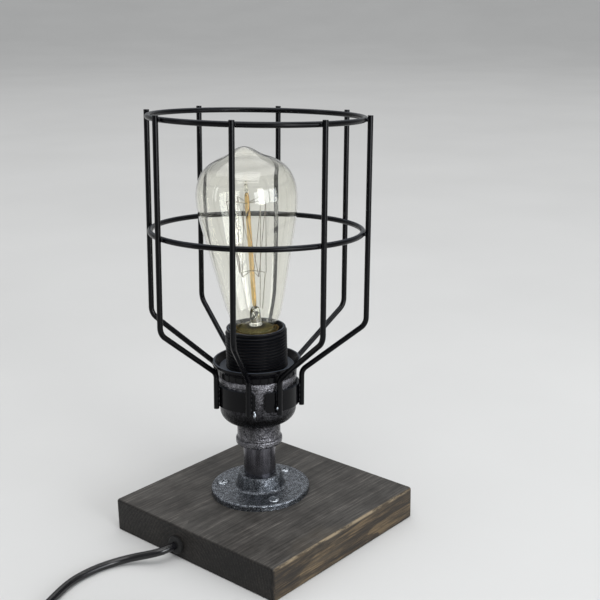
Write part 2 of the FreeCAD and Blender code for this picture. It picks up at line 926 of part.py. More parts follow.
def make_holder_insert():
    """The moulded block that carries the contacts, with a way for the two conductors."""
    body = new_body("holder_insert")
    block = new_sketch(body, "insert_outline", "XY_Plane")
    circle(block, 0, 0, insert_radius)
    pad(body, "insert_block", block, cell.insert_height)
    ways = new_sketch(body, "insert_ways_outline", "XY_Plane")
    circle(ways, 0, 0, entry_bore)
    pocket(body, "insert_cable_way", ways, cell.insert_height - 8, upward=True)
    holes = new_sketch(body, "insert_screw_outline", "XY_Plane", cell.insert_height)
    for side in (-1, 1):
        circle(holes, insert_radius * 0.68 * side, 0, 1.6)
    pocket(body, "insert_screw_holes", holes, 12)
    on_axis(body, insert_bottom)


def grooved(radius_out, radius_in, first, pitch, count):
    """Corners of a run of thread grooves on a turned piece, upward from a height."""
    corners = []
    for index in range(count):
        foot = first + pitch * index
        corners.append((radius_out, foot))
        corners.append((radius_in, foot + pitch * 0.5))
    corners.append((radius_out, first + pitch * count))
    return corners


def make_holder_sleeve():
    """The outer sleeve: its thread takes the shade ring."""
    turns = int(cell.sleeve_turns.number)
    first = cell.sleeve_height - cell.sleeve_lip - cell.sleeve_pitch * turns
    corners = [(skirt_bore, 0), (sleeve_root, 0), (sleeve_root, first - 0.8)]
    corners += grooved(sleeve_crest, sleeve_root, first, cell.sleeve_pitch, turns)
    corners += [
        (sleeve_crest - 0.6, cell.sleeve_height),
        (sleeve_bore, cell.sleeve_height),
        (sleeve_bore, cell.sleeve_skirt),
        (skirt_bore, cell.sleeve_skirt),
    ]
    on_axis(turned("holder_sleeve", corners), sleeve_bottom)


def make_thread_shell():
    """Thin rolled shell that the bulb's cap screws into."""
    count = 6
    inside = grooved(shell_outer - cell.shell_sheet, shell_inner, 0, cell.cap_pitch, count)
    outside = grooved(shell_outer, shell_inner + cell.shell_sheet, 0,
                      cell.cap_pitch, count)
    corners = [(across, up) for across, up in inside] + list(reversed(outside))
    on_axis(turned("thread_shell", corners), holder_rim - cell.shell_height)


def make_holder_contacts():
    x, y = cell.lamp_x.number, cell.lamp_y.number
    top = insert_top.number
    leaf = Part.makeBox(16, 5, 0.5, Vector(-8, -2.5, 0))
    rise = contact_bottom.number - 0.2 - top
    tongue = Part.makeBox(7, 5, rise, Vector(-3.5, -2.5, 0))
    centre = leaf.fuse(tongue).removeSplitter()
    made("centre_contact_spring", centre, Placement(Vector(x, y, top), Rotation()))

    shell_foot = holder_rim.number - cell.shell_height.number
    out = shell_outer.number
    bar = Part.makeBox(4.4, 4, 0.5, Vector(out - 4.2, -2, 0))
    height = max(0.6, shell_foot - top - 0.05)
    lug = Part.makeBox(0.5, 4, height, Vector(out - 0.8, -2, 0))
    side = bar.fuse(lug).removeSplitter()
    turn = Rotation(Vector(0, 0, 1), 90)
    made("side_contact", side, Placement(Vector(x, y, top), turn))

    screws = []
    for side_of in (-1, 1):
        spot = Vector(x + side_of * insert_radius.number * 0.68, y, top)
        shank = Part.makeCylinder(1.5, 10.5, spot - Vector(0, 0, 10.5))
        head = Part.makeCylinder(2.6, 1.6, spot + Vector(0, 0, 0.55))
        neck = Part.makeCylinder(1.5, 0.55, spot)
        slot = Part.makeBox(6, 0.6, 0.8, spot + Vector(-3, -0.3, 1.5))
        screws.append(shank.fuse([neck, head]).removeSplitter().cut(slot))
    made("terminal_screws", Part.makeCompound(screws))


def make_shade_ring():
    """The dished ring that runs on the holder's thread and bears on the bell's mouth."""
    bore = sleeve_crest + cell.ring_gap
    rim_inner = ring_rim_radius - cell.ring_rim_thickness
    body = turned("shade_ring", [
        (bore, 0),
        (ring_skirt_radius, 0),
        (ring_skirt_radius, cell.ring_skirt_height),
        (ring_rim_radius, cell.ring_rim_height),
        (ring_rim_radius, cell.ring_height),
        (rim_inner, cell.ring_height),
        (ring_skirt_radius - 1.4, cell.ring_floor),
        (bore, cell.ring_floor),
    ])
    rim = ring_edges(body.Shape, ring_rim_radius, cell.ring_height)
    dress(body, "ring_rim", "Fillet", rim, 0.5)
    groove = new_sketch(body, "grip_outline", "XY_Plane")
    circle(groove, ring_skirt_radius, 0, cell.grip_radius)
    cut = pocket(body, "grip_groove", groove, cell.ring_skirt_height, upward=True)
    pattern = body.newObject("PartDesign::PolarPattern", "grip_grooves")
    pattern.Originals = [cut]
    pattern.Axis = (groove, ["N_Axis"])
    pattern.Angle = 360.0
    bind(pattern, "Occurrences", cell.grip_count)
    body.Tip = pattern
    doc.recompute()
    on_axis(body, socket_mouth + cell.ring_seat)


def make_bulb_cap():
    turns = int(cell.cap_turns.number)
    first = cell.cap_height - 2.6 - cell.cap_pitch * turns
    outside = [(cap_root, first - 0.6)]
    outside += grooved(cap_root, cell.cap_crest, first, cell.cap_pitch, turns)
    outside += [(cell.cap_crest, cell.cap_height - 1.6), (cell.cap_crest, cell.cap_height)]
    inside = cap_root - cell.cap_sheet - 0.2
    corners = [(insulator_radius + 0.1, 0)] + outside + [
        (cell.cap_crest - cell.cap_sheet, cell.cap_height),
        (cell.cap_crest - cell.cap_sheet, cell.cap_height - 1.7),
        (inside, cell.cap_height - 2.5),
        (inside, first - 0.2),
        (insulator_radius + 0.1, 0.8),
    ]
    on_axis(turned("bulb_cap", corners), cap_bottom)
    insulator = turned("bulb_cap_insulator", [
        (0, 0),
        (cell.contact_radius, 0),
        (insulator_radius, cell.insulator_height - 0.6),
        (insulator_radius, cell.insulator_height + 1.2),
        (0, cell.insulator_height + 1.2),
    ])
    on_axis(insulator, cap_bottom - cell.insulator_height)
    contact = turned("bulb_centre_contact", [
        (0, 0),
        (cell.contact_radius * 0.6, 0),
        (cell.contact_radius, cell.contact_height * 0.6),
        (cell.contact_radius, cell.contact_height - 0.05),
        (0, cell.contact_height - 0.05),
    ])
    on_axis(contact, contact_bottom)


def bulb_place():
    """The glass is set a little crooked in its cap."""
    axis = polar(1, cell.bulb_lean_toward.number + 90)
    spot = Vector(cell.lamp_x.number, cell.lamp_y.number, cap_rim.number)
    return Placement(spot, Rotation(axis, cell.bulb_lean.number))


def glass_outline(inset):
    """Knots of the glass from neck to tip, each with the way the outline runs there."""
    side = Vector(0.26, 0, 1).normalize()
    knots = [
        (glass_neck.number, -1.0, Vector(0, 0, 1)),
        (cell.glass_throat.number, cell.glass_throat_height.number, Vector(0.36, 0, 1).normalize()),
        (cell.glass_radius.number * 0.74, cell.glass_widest_height.number * 0.47, side),
        (cell.glass_radius.number, cell.glass_widest_height.number, Vector(0, 0, 1)),
        (cell.glass_dome_radius.number, cell.glass_dome_height.number,
         Vector(-1, 0, 0.28).normalize()),
        (0.0, cell.glass_tip_height.number, Vector(-1, 0, 0)),
    ]
    moved = []
    for radius, height, way in knots:
        inward = Vector(-way.z, 0, way.x)
        spot = Vector(radius, 0, height) + inward * inset
        moved.append((Vector(max(spot.x, 0.0), 0, spot.z), way))
    return moved


def make_bulb_glass():
    def spun(inset, drop):
        knots = glass_outline(inset)
        edges = []
        for (start, leaving), (end, arriving) in zip(knots, knots[1:]):
            edges += biarc(start, leaving, end, arriving)
        foot = Vector(0, 0, knots[0][0].z - drop)
        low = Vector(knots[0][0].x, 0, foot.z)
        edges.append(Part.LineSegment(knots[-1][0], foot).toShape())
        edges.append(Part.LineSegment(foot, low).toShape())
        if drop:
            edges.append(Part.LineSegment(low, knots[0][0]).toShape())
        face = Part.Face(Part.Wire(Part.__sortEdges__(edges)))
        return face.revolve(Vector(0, 0, 0), Vector(0, 0, 1), 360)

    glass = spun(0.0, 0.0).cut(spun(cell.glass_wall.number, 1.0))
    made("bulb_glass", glass, bulb_place())


def make_bulb_inside():
    """Stem, rod, wires and filament: a cage of thin strands between two sets of hooks."""
    neck = glass_neck.number - cell.glass_wall.number
    rod = cell.rod_glass_radius.number
    press = cell.press_radius.number
    tall = cell.press_height.number
    foot = neck - cell.stem_gap.number
    corners = [
        Vector(0, 0, 0), Vector(foot, 0, 0), Vector(press + 1, 0, tall * 0.45),
        Vector(press, 0, tall * 0.6), Vector(press, 0, tall - 1.5), Vector(rod, 0, tall),
        Vector(rod, 0, cell.rod_glass_height.number), Vector(0, 0, cell.rod_glass_height.number + 0.8),
    ]
    face = Part.Face(Part.makePolygon(corners + corners[:1]))
    stem = face.revolve(Vector(0, 0, 0), Vector(0, 0, 1), 360)
    made("bulb_stem", stem, bulb_place())

    wire = cell.support_wire.number
    count = int(cell.strand_count.number)
    step = 360.0 / count
    top_z, low_z = cell.top_hook_height.number, cell.low_hook_height.number
    top_r, low_r = cell.top_hook_radius.number, cell.low_hook_radius.number
    supports = []
    for index in range(count // 2):
        top_angle = step * 2 * index
        low_angle = top_angle + step
        reach_top, reach_low = top_r - 0.5, low_r - 0.5
        supports.append(rod_between(polar(rod + 0.05, top_angle, top_z - 2),
                                    polar(reach_top, top_angle, top_z), wire))
        supports.append(rod_between(polar(rod + 0.05, low_angle, low_z + 2),
                                    polar(reach_low, low_angle, low_z), wire))
    made("support_wires", Part.makeCompound(supports), bulb_place())

    strands = []
    knots = []
    for index in range(count):
        hook = (top_r, top_z) if index % 2 == 0 else (low_r, low_z)
        knots.append(polar(hook[0], step * index, hook[1]))
    thread = cell.filament_wire.number
    balls = [Part.makeSphere(thread, knot) for knot in knots]
    for start, end in zip(knots, knots[1:]):
        strands.append(rod_between(start, end, thread))
    filament = strands[0].fuse(strands[1:] + balls)
    made("filament", filament.removeSplitter(), bulb_place())

    leads = []
    for index in (0, 1):
        hook = knots[0] if index == 0 else knots[-1]
        angle = 0.0 if index == 0 else step * (count - 1)
        low = polar(press + 0.6, angle, tall - 6)
        end = hook - Vector(0, 0, 0.6) if index else polar(top_r - 0.2, 0, top_z - 1)
        leads.append(rod_between(low, end - polar(0.6, angle), wire))
    made("lead_wires", Part.makeCompound(leads), bulb_place())


def make_inner_cable():
    """The cable from the grommet through the block and up the pipe, and its two conductors."""
    x, y = cell.lamp_x.number, cell.lamp_y.number
    bore_y, bore_z = cell.bore_y.number, cell.bore_z.number
    top = insert_bottom.number - 1.0
    face = -cell.base_length.number / 2 - cell.grommet_lip.number
    path = rounded_path([
        (face, bore_y, bore_z),
        (x - 2.2, bore_y, bore_z),
        (x, y, bore_z + 17),
        (x, y, top),
    ])
    made("inner_cable", tube(path, cell.cord_radius.number))
    ends = []
    thick = cell.conductor_radius.number
    for side in (-1, 1):
        path = rounded_path([
            (x + side * (thick + 0.15), y, top + 0.05),
            (x + side * (thick + 0.15), y, top + 5),
            (x + side * (thick + 1.3), y, top + 13),
        ])
        ends.append(tube(path, thick))
    made("conductors", Part.makeCompound(ends))


def on_table(x, y, lift=0.0):
    """A point of the cord, from the grommet's face and from where the cord lies on the table."""
    exit_x = -cell.base_length.number / 2 - cell.grommet_lip.number
    return Vector(exit_x + x, cell.bore_y.number + y, cell.cord_radius.number + lift)


coil_step = cell.cord_radius * 2 + cell.coil_gap
coil_low = cell.cord_radius + cell.tie_strap + cell.tie_gap


def coil_place():
    spot = on_table(cell.coil_x.number, cell.coil_y.number)
    spot.z = 0
    return Placement(spot, Rotation(Vector(0, 0, 1), cell.coil_start_angle.number))


def coil_crossings():
    """Where the coil crosses its own X axis: inward on the table, then outward on top."""
    half_turns = int(cell.coil_half_turns.number)
    outer, step = cell.coil_outer.number, coil_step.number / 2
    low = coil_low.number
    high = low + coil_step.number
    inward = [(outer - step * index, low) for index in range(half_turns)]
    inward.append((outer - step * half_turns - cell.coil_climb_inset.number, low))
    outward = [(radius, high) for radius, height in reversed(inward)]
    return [
        Vector(radius if index % 2 == 0 else -radius, 0, height)
        for index, (radius, height) in enumerate(inward + outward)
    ]


def coil_path():
    """The coil's line: half turns as arcs, and the climb between its layers as biarcs."""
    knots = coil_crossings()
    lead = Vector(0, cell.coil_lead.number, 0)
    edges = [Part.LineSegment(knots[0] + lead, knots[0]).toShape()]
    for index, (start, end) in enumerate(zip(knots, knots[1:])):
        way = -1 if index % 2 == 0 else 1
        middle = (start + end) * 0.5
        radius = (end - start).Length / 2
        if near(start.z, end.z):
            far = middle + Vector(0, way * radius, 0)
            edges.append(Part.Arc(start, far, end).toShape())
            continue
        far = Vector(middle.x, way * abs(start.x), middle.z)
        rise = 2 * (end.z - start.z) / (math.pi * abs(start.x))
        over = Vector(-1 if start.x > 0 else 1, 0, rise).normalize()
        edges += biarc(start, Vector(0, way, 0), far, over)
        edges += biarc(far, over, end, Vector(0, -way, 0))
    edges.append(Part.LineSegment(knots[-1], knots[-1] + lead).toShape())
    return Part.Wire(edges)


def coil_gap(path):
    """The least distance between the surfaces of two turns, measured on points of the line."""
    points = path.discretize(Distance=2.0)
    spacing = path.Length / (len(points) - 1)
    apart = int(40.0 / spacing)
    least = None
    for index, point in enumerate(points):
        for other in points[index + apart:]:
            gap = (point - other).Length - 2 * cell.cord_radius.number
            least = gap if least is None else min(least, gap)
    return least


def coil_ends():
    """Where the coil's two ends lie, and the way along which both of them run."""
    knots = coil_crossings()
    lead = Vector(0, cell.coil_lead.number, 0)
    place = coil_place()
    along = place.Rotation.multVec(Vector(0, 1, 0))
    return place.multVec(knots[0] + lead), place.multVec(knots[-1] + lead), along


def cord_routes():
    """The three free stretches: lamp to switch, switch to coil, coil to plug."""
    coil_start, coil_end, coil_way = coil_ends()
    switch_way = polar(1, cell.switch_angle.number)
    plug_way = polar(1, cell.plug_angle.number)
    into_switch = on_table(cell.switch_x.number, cell.switch_y.number)
    into_switch.z = cell.switch_low.number
    out_of_switch = into_switch + switch_way * cell.switch_length.number
    boot = on_table(cell.plug_x.number, cell.plug_y.number)
    boot.z = cell.plug_thickness.number / 2
    leave = on_table(0, 0)
    leave.z = cell.bore_z.number
    lead = [leave, leave - Vector(cell.exit_lead.number, 0, 0)]
    lead += [on_table(*point) for point in LEAD_ROUTE]
    lead += [into_switch - switch_way * cell.switch_run.number, into_switch]
    middle = [
        out_of_switch,
        out_of_switch + switch_way * cell.coil_run.number,
        coil_start + coil_way * cell.coil_run.number,
        coil_start,
    ]
    tail = [coil_end, coil_end + coil_way * cell.coil_run.number]
    tail += [on_table(*point) for point in TAIL_ROUTE]
    tail += [boot - plug_way * cell.plug_run.number, boot]
    return {
        "cord_lamp_to_switch": lead,
        "cord_switch_to_coil": middle,
        "cord_coil_to_plug": tail,
    }


def make_cord():
    radius = cell.cord_radius.number
    section = math.pi * radius * radius
    coil = coil_path()
    total = cell.switch_length.number + coil.Length
    for label, route in cord_routes().items():
        path = rounded_path(route, name=label)
        solid = tube(path, radius)
        print("%s: length %.1f mm, volume ratio %.4f"
              % (label, path.Length, solid.Volume / (section * path.Length)))
        made(label, solid)
        total += path.Length
    solid = tube(coil, radius)
    print("cord_coil: length %.1f mm, volume ratio %.4f, least gap %.2f mm"
          % (coil.Length, solid.Volume / (section * coil.Length), coil_gap(coil)))
    made("cord_coil", solid, coil_place())
    print("cord from grommet to plug: %.0f mm" % total)


def make_cord_tie():
    """The strap that holds the coil, round all its turns at one place."""
    half_turns = int(cell.coil_half_turns.number)
    outer = cell.coil_outer.number - coil_step.number / 4
    inner = outer - coil_step.number * (half_turns // 2) - cell.coil_climb_inset.number / 2
    reach = cell.cord_radius.number + cell.tie_gap.number
    strap = cell.tie_strap.number
    far_side = outer + reach
    turn_shift = coil_step.number / 4 + cell.coil_climb_inset.number / 2
    half_strap = cell.tie_width.number / 2 + turn_shift
    near_side = math.sqrt(inner * inner - half_strap * half_strap) - reach
    low = coil_low.number - reach
    high = coil_low.number + coil_step.number + reach

    def block(grow, width):
        corner = Vector(-width / 2, -far_side - grow, low - grow)
        wide = far_side - near_side + 2 * grow
        box = Part.makeBox(width, wide, high - low + 2 * grow, corner)
        long_edges = [edge for edge in box.Edges if edge.BoundBox.XLength > width - 0.01]
        return box.makeFillet(1.6 + grow, long_edges)

    width = cell.tie_width.number
    made("cord_tie", block(strap, width).cut(block(0.0, width + 2)), coil_place())


def switch_place(height=0.0):
    heading = Rotation(Vector(0, 0, 1), cell.switch_angle.number)
    start = on_table(cell.switch_x.number, cell.switch_y.number)
    start.z = height
    return Placement(start + polar(cell.switch_length.number / 2, cell.switch_angle.number), heading)


def switch_half(label, low, high, top_wall):
    """One half of the housing: a rounded block with a hollow open to the other half."""
    body = new_body(label)
    block = new_sketch(body, label + "_outline", "XY_Plane", low)
    rectangle(block, cell.switch_length, cell.switch_width)
    pad(body, label + "_block", block, high - low)
    dress(body, label + "_corners", "Fillet", upright_edges(body.Shape), cell.switch_corner)
    outer_level = high if top_wall else low
    rim = level_edges(body.Shape, outer_level)
    dress(body, label + "_edge", "Fillet", rim, cell.switch_edge)
    hollow_from = high - cell.switch_top if top_wall else high
    hollow = new_sketch(body, label + "_hollow_outline", "XY_Plane", hollow_from)
    rectangle(hollow, cell.switch_length - cell.switch_corner * 2,
              cell.switch_width - cell.switch_wall * 2)
    floor = low if top_wall else low + cell.switch_wall
    pocket(body, label + "_hollow", hollow, hollow_from - floor)
    return body


def make_switch():
    split = cell.switch_low
    top = split + cell.switch_high
    lower = switch_half("switch_lower_half", as_size(0), split - 0.05, False)
    holes = new_sketch(lower, "switch_screw_outline", "XY_Plane")
    for side in (-1, 1):
        circle(holes, (cell.switch_length / 2 - 6.5) * side, 0, 1.5)
    pocket(lower, "switch_screw_holes", holes, split, upward=True)
    lower.Placement = switch_place()

    upper = switch_half("switch_upper_half", split, top, True)
    window = new_sketch(upper, "rocker_window_outline", "XY_Plane", top)
    rectangle(window, cell.rocker_length + cell.rocker_gap * 2,
              cell.rocker_width + cell.rocker_gap * 2)
    pocket(upper, "rocker_window", window, cell.switch_top)
    axle_z = top - cell.axle_drop
    bore = new_sketch(upper, "axle_outline", "XZ_Plane", cell.axle_length / -2 - 0.05)
    circle(bore, 0, axle_z, cell.axle_radius + cell.axle_gap)
    pocket(upper, "axle_bore", bore, cell.axle_length + 0.1, upward=True)
    holes = new_sketch(upper, "switch_boss_outline", "XY_Plane", split)
    for side in (-1, 1):
        circle(holes, (cell.switch_length / 2 - 6.5) * side, 0, 1.3)
    pocket(upper, "switch_boss_holes", holes, 5, upward=True)
    upper.Placement = switch_place()

    axle = Part.makeCylinder(
        cell.axle_radius.number, cell.axle_length.number,
        Vector(0, -cell.axle_length.number / 2, 0), Vector(0, 1, 0))
    pivot = switch_place(axle_z.number)
    made("switch_axle", axle, pivot)

    half = cell.rocker_length / 2
    rocker = new_body("switch_rocker")
    side_view = new_sketch(rocker, "rocker_outline", "XZ_Plane")
    outline(side_view, [
        (half * -1, cell.axle_drop * -1),
        (half * -0.45, cell.rocker_depth * -1),
        (half * 0.45, cell.rocker_depth * -1),
        (half, cell.axle_drop * -1),
        (half, cell.axle_drop + cell.rocker_rise),
        (half * 0.3, cell.axle_drop + cell.rocker_rise * 0.45),
        (half * -0.3, cell.axle_drop + cell.rocker_rise * 0.45),
        (half * -1, cell.axle_drop + cell.rocker_rise),
    ])
    pad(rocker, "rocker_block", side_view, cell.rocker_width, midplane=True)
    pin_hole = new_sketch(rocker, "rocker_bore_outline", "XZ_Plane", cell.rocker_width / -2 - 1)
    circle(pin_hole, 0, 0, cell.axle_radius + cell.axle_gap)
    pocket(rocker, "rocker_bore", pin_hole, cell.rocker_width + 2, upward=True)
    tilt = Rotation(Vector(0, 1, 0), -cell.rocker_tilt.number)
    rocker.Placement = pivot.multiply(Placement(Vector(0, 0, 0), tilt))

    floor = cell.switch_wall.number
    strips = []
    for side in (-1, 1):
        strip = Part.makeBox(9, 4, 0.6, Vector(side * 12.5 - 4.5, -2, floor + 0.05))
        post = Part.makeBox(2, 4, 3.0, Vector(side * 9.5 - 1, -2, floor + 0.05))
        strips.append(strip.fuse(post).removeSplitter())
    made("switch_contacts", Part.makeCompound(strips), switch_place())

    screws = []
    for side in (-1, 1):
        spot = Vector(side * (cell.switch_length.number / 2 - 6.5), 0, 0.4)
        screws.append(Part.makeCylinder(1.2, 10.5, spot))
    made("switch_screws", Part.makeCompound(screws), switch_place())


def plug_place(along=0.0):
    heading = Rotation(Vector(0, 0, 1), cell.plug_angle.number)
    start = on_table(cell.plug_x.number, cell.plug_y.number)
    start.z = cell.plug_thickness.number / 2
    return Placement(start + polar(along, cell.plug_angle.number), heading)


def make_plug():
    length, width = cell.plug_length, cell.plug_width
    body = new_body("plug_body")
    plan = new_sketch(body, "plug_outline", "XY_Plane")
    tail = cell.plug_tail_width / 2
    outline(plan, [
        (0, tail * -1),
        (length * 0.42, width * -0.36),
        (length * 0.72, width * -0.5),
        (length, width * -0.5),
        (length, width * 0.5),
        (length * 0.72, width * 0.5),
        (length * 0.42, width * 0.36),
        (0, tail),
    ])
    pad(body, "plug_block", plan, cell.plug_thickness, midplane=True)
    dress(body, "plug_corners", "Fillet", upright_edges(body.Shape), cell.plug_round)
    rims = level_edges(body.Shape, cell.plug_thickness / 2)
    rims += level_edges(body.Shape, cell.plug_thickness / -2)
    dress(body, "plug_edges", "Fillet", rims, cell.plug_round)
    holes = new_sketch(body, "pin_hole_outline", "YZ_Plane", length)
    for side in (-1, 1):
        circle(holes, cell.pin_spacing / 2 * side, 0, cell.pin_radius + 0.05)
    pocket(body, "pin_holes", holes, cell.pin_root)
    body.Placement = plug_place(cell.boot_length.number)

    reach = cell.boot_length
    ribs = 5
    hole = cell.cord_radius * 0.4
    corners = [(hole, 0), (boot_thin, 0)]
    for index in range(1, ribs + 1):
        at = reach * (index / (ribs + 1.0))
        radius = boot_thin + (boot_thick - boot_thin) * (index / (ribs + 1.0))
        corners += [(radius, at - 0.9), (radius - 0.8, at - 0.8), (radius - 0.8, at + 0.8),
                    (radius, at + 0.9)]
    corners += [(boot_thick, reach - 0.05), (hole, reach - 0.05)]
    boot = turned("plug_boot", corners)
    lay = Rotation(Vector(0, 1, 0), 90)
    boot.Placement = plug_place().multiply(Placement(Vector(0, 0, 0), lay))

    pins, sleeves = [], []
    radius = cell.pin_radius.number
    thin = radius - cell.sleeve_thickness.number
    face = length.number
    out = cell.sleeve_length.number
    for side in (-1, 1):
        spot = Vector(face - cell.pin_root.number + 0.05, side * cell.pin_spacing.number / 2, 0)
        ahead = Vector(1, 0, 0)
        whole = cell.pin_root.number + cell.pin_length.number
        pin = Part.makeCylinder(radius, whole, spot, ahead)
        tip = [edge for edge in pin.Edges if edge.BoundBox.XMin > spot.x + whole - 0.01]
        pin = pin.makeFillet(1.2, tip)
        start = Vector(face + 0.02, spot.y, 0)
        hoop = Part.makeCylinder(radius + 0.2, out, start, ahead)
        pin = pin.cut(hoop.cut(Part.makeCylinder(thin, out, start, ahead)))
        pins.append(pin)
        cover = Part.makeCylinder(radius - 0.1, out - 0.1, start + Vector(0.05, 0, 0), ahead)
        core = Part.makeCylinder(thin + 0.02, out, start, ahead)
        sleeves.append(cover.cut(core))
    place = plug_place(cell.boot_length.number)
    made("plug_pins", Part.makeCompound(pins), place)
    made("plug_pin_sleeves", Part.makeCompound(sleeves), place)


def main():
    make_wooden_base()
    make_grommet()
    make_floor_flange()
    make_flange_screws()
    make_pipe_nipple()
    make_reducing_socket()
    make_cage_band()
    make_cage_ribs()
    make_cage_rings()
    make_entry()
    make_holder_dome()
    make_holder_insert()
    make_holder_sleeve()
    make_thread_shell()
    make_holder_contacts()
    make_shade_ring()
    make_bulb_cap()
    make_bulb_glass()
    make_bulb_inside()
    make_inner_cable()
    make_cord()
    make_cord_tie()
    make_switch()
    make_plug()
    doc.recompute()
    faults = [part.Name for part in doc.Objects
              if "Invalid" in part.State or "Error" in part.State]
    for piece in pieces:
        if piece.Shape.isNull() or not piece.Shape.isValid():
            faults.append(piece.Label)
    if faults:
        raise ValueError("faulty pieces: " + ", ".join(faults))
    os.makedirs("parts", exist_ok=True)
    for piece in pieces:
        piece.Shape.exportStep("parts/%s.step" % piece.Label)
    print("%d pieces written" % len(pieces))


main()
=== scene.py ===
import functools
import json
import math

import bmesh
import bpy
from mathutils import Matrix, Vector


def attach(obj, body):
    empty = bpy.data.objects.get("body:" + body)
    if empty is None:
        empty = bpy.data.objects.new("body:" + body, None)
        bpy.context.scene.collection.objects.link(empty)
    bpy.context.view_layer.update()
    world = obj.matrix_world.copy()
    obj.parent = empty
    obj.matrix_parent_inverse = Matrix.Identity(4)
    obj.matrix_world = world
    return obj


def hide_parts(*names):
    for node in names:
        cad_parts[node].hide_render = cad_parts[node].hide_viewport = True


# Table lamp made of pipe fittings on a stained pine block, with a wire cage and a bare bulb.
# Sizes are written in millimetres, and in metres for the floor and the lights.

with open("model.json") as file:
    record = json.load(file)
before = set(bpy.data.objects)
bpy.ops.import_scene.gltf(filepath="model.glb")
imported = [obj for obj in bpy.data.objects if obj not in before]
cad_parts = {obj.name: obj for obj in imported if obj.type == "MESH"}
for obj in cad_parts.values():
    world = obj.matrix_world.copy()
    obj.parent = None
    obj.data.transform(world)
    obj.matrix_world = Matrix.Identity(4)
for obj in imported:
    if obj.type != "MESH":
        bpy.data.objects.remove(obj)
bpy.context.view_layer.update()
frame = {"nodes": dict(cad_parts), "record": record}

# The lamp's upright axis, and what leans from it: how far, and toward which side, in degrees.
LAMP_AXIS = (2.2, 6.9)
BAND_MIDDLE = 93.6
CAGE_LEAN = 3.5
CAGE_LEAN_TOWARD = 20.6
CAP_RIM = 137.5
BULB_LEAN = 2.3
BULB_LEAN_TOWARD = 128.9

# The block with its fibres along X, the flange on it, the flange's screws, and the cord.
BLOCK_HALF_LENGTH = 69.0
BLOCK_HALF_WIDTH = 71.5
BLOCK_TOP = 22.0
FLANGE_TOP = 26.0
SCREW_CIRCLE = 25.75
FIRST_SCREW = 124.0
CORD = 5.0

MM = 0.001
# Divided by a grain's width in millimetres, this is the scale of a pattern.
PER_MM = 1000.0


def metres(*point):
    """A point of millimetres in metres."""
    return Vector([value / 1000.0 for value in point])


def polar(radius, angle):
    """A point at a radius from the Z axis, at an angle in degrees."""
    turn = math.radians(angle)
    return Vector((radius * math.cos(turn), radius * math.sin(turn), 0.0))


def turned_by(angle):
    """A turn about the Z axis by an angle in degrees."""
    return Matrix.Rotation(math.radians(angle), 4, "Z")


def leaning(middle_height, lean, toward):
    """The place of a part that leans from the lamp's axis about a point on it."""
    spot = Matrix.Translation((*LAMP_AXIS, middle_height))
    return spot @ Matrix.Rotation(math.radians(lean), 4, polar(1, toward + 90))


CAGE = leaning(BAND_MIDDLE, CAGE_LEAN, CAGE_LEAN_TOWARD)
BULB = leaning(CAP_RIM, BULB_LEAN, BULB_LEAN_TOWARD)


def linear(code):
    """An sRGB hex colour as linear red, green, blue and alpha."""
    parts = [int(code[i:i + 2], 16) / 255.0 for i in (1, 3, 5)]
    return [p / 12.92 if p <= 0.04045 else ((p + 0.055) / 1.055) ** 2.4 for p in parts] + [1.0]


def node(tree, kind, inputs=None, output=0, stops=None, **settings):
    """Adds one shader node with its settings, and puts a value or a link on each input that is
    given. A string is a hex colour. Gives back one of the node's outputs."""
    made = tree.nodes.new("ShaderNode" + kind)
    for name, value in settings.items():
        setattr(made, name, value)
    for key, value in (inputs or {}).items():
        if isinstance(value, bpy.types.NodeSocket):
            tree.links.new(value, made.inputs[key])
        else:
            made.inputs[key].default_value = linear(value) if isinstance(value, str) else value
    if stops:
        band = made.color_ramp.elements
        while len(band) < len(stops):
            band.new(0.5)
        for element, (position, colour) in zip(band, stops):
            element.position, element.color = position, linear(colour)
    return made.outputs[output]


def material(name, **constants):
    """A named material, its node adder, its shader with constants on its own sockets, and the
    place of each point in metres."""
    made = bpy.data.materials.new(name)
    made.use_nodes = True
    shader = made.node_tree.nodes["Principled BSDF"]
    for key, value in constants.items():
        shader.inputs[key.replace("_", " ")].default_value = value
    add = functools.partial(node, made.node_tree)
    return made, add, shader, add("TexCoord", output="Object")


def drive(shader, **sockets):
    """Links node outputs to the shader's sockets."""
    for key, value in sockets.items():
        shader.id_data.links.new(value, shader.inputs[key.replace("_", " ")])


def add_dust_and_sheen(add, colour, dust_and_sheen, amount, steep=0.5, flat=0.97):
    """Greys the faces that look up, from a steep slope to a flat one: partly settled dirt,
    partly a painted sheen.
    """
    upward = add("SeparateXYZ", {"Vector": add("NewGeometry", output="Normal")}, "Z")
    share = add("MapRange", {"Value": upward, "From Min": steep, "From Max": flat,
                             "To Max": amount}, interpolation_type="SMOOTHSTEP")
    return add("Mix", {"Factor": share, 6: colour, 7: dust_and_sheen}, 2, data_type="RGBA")


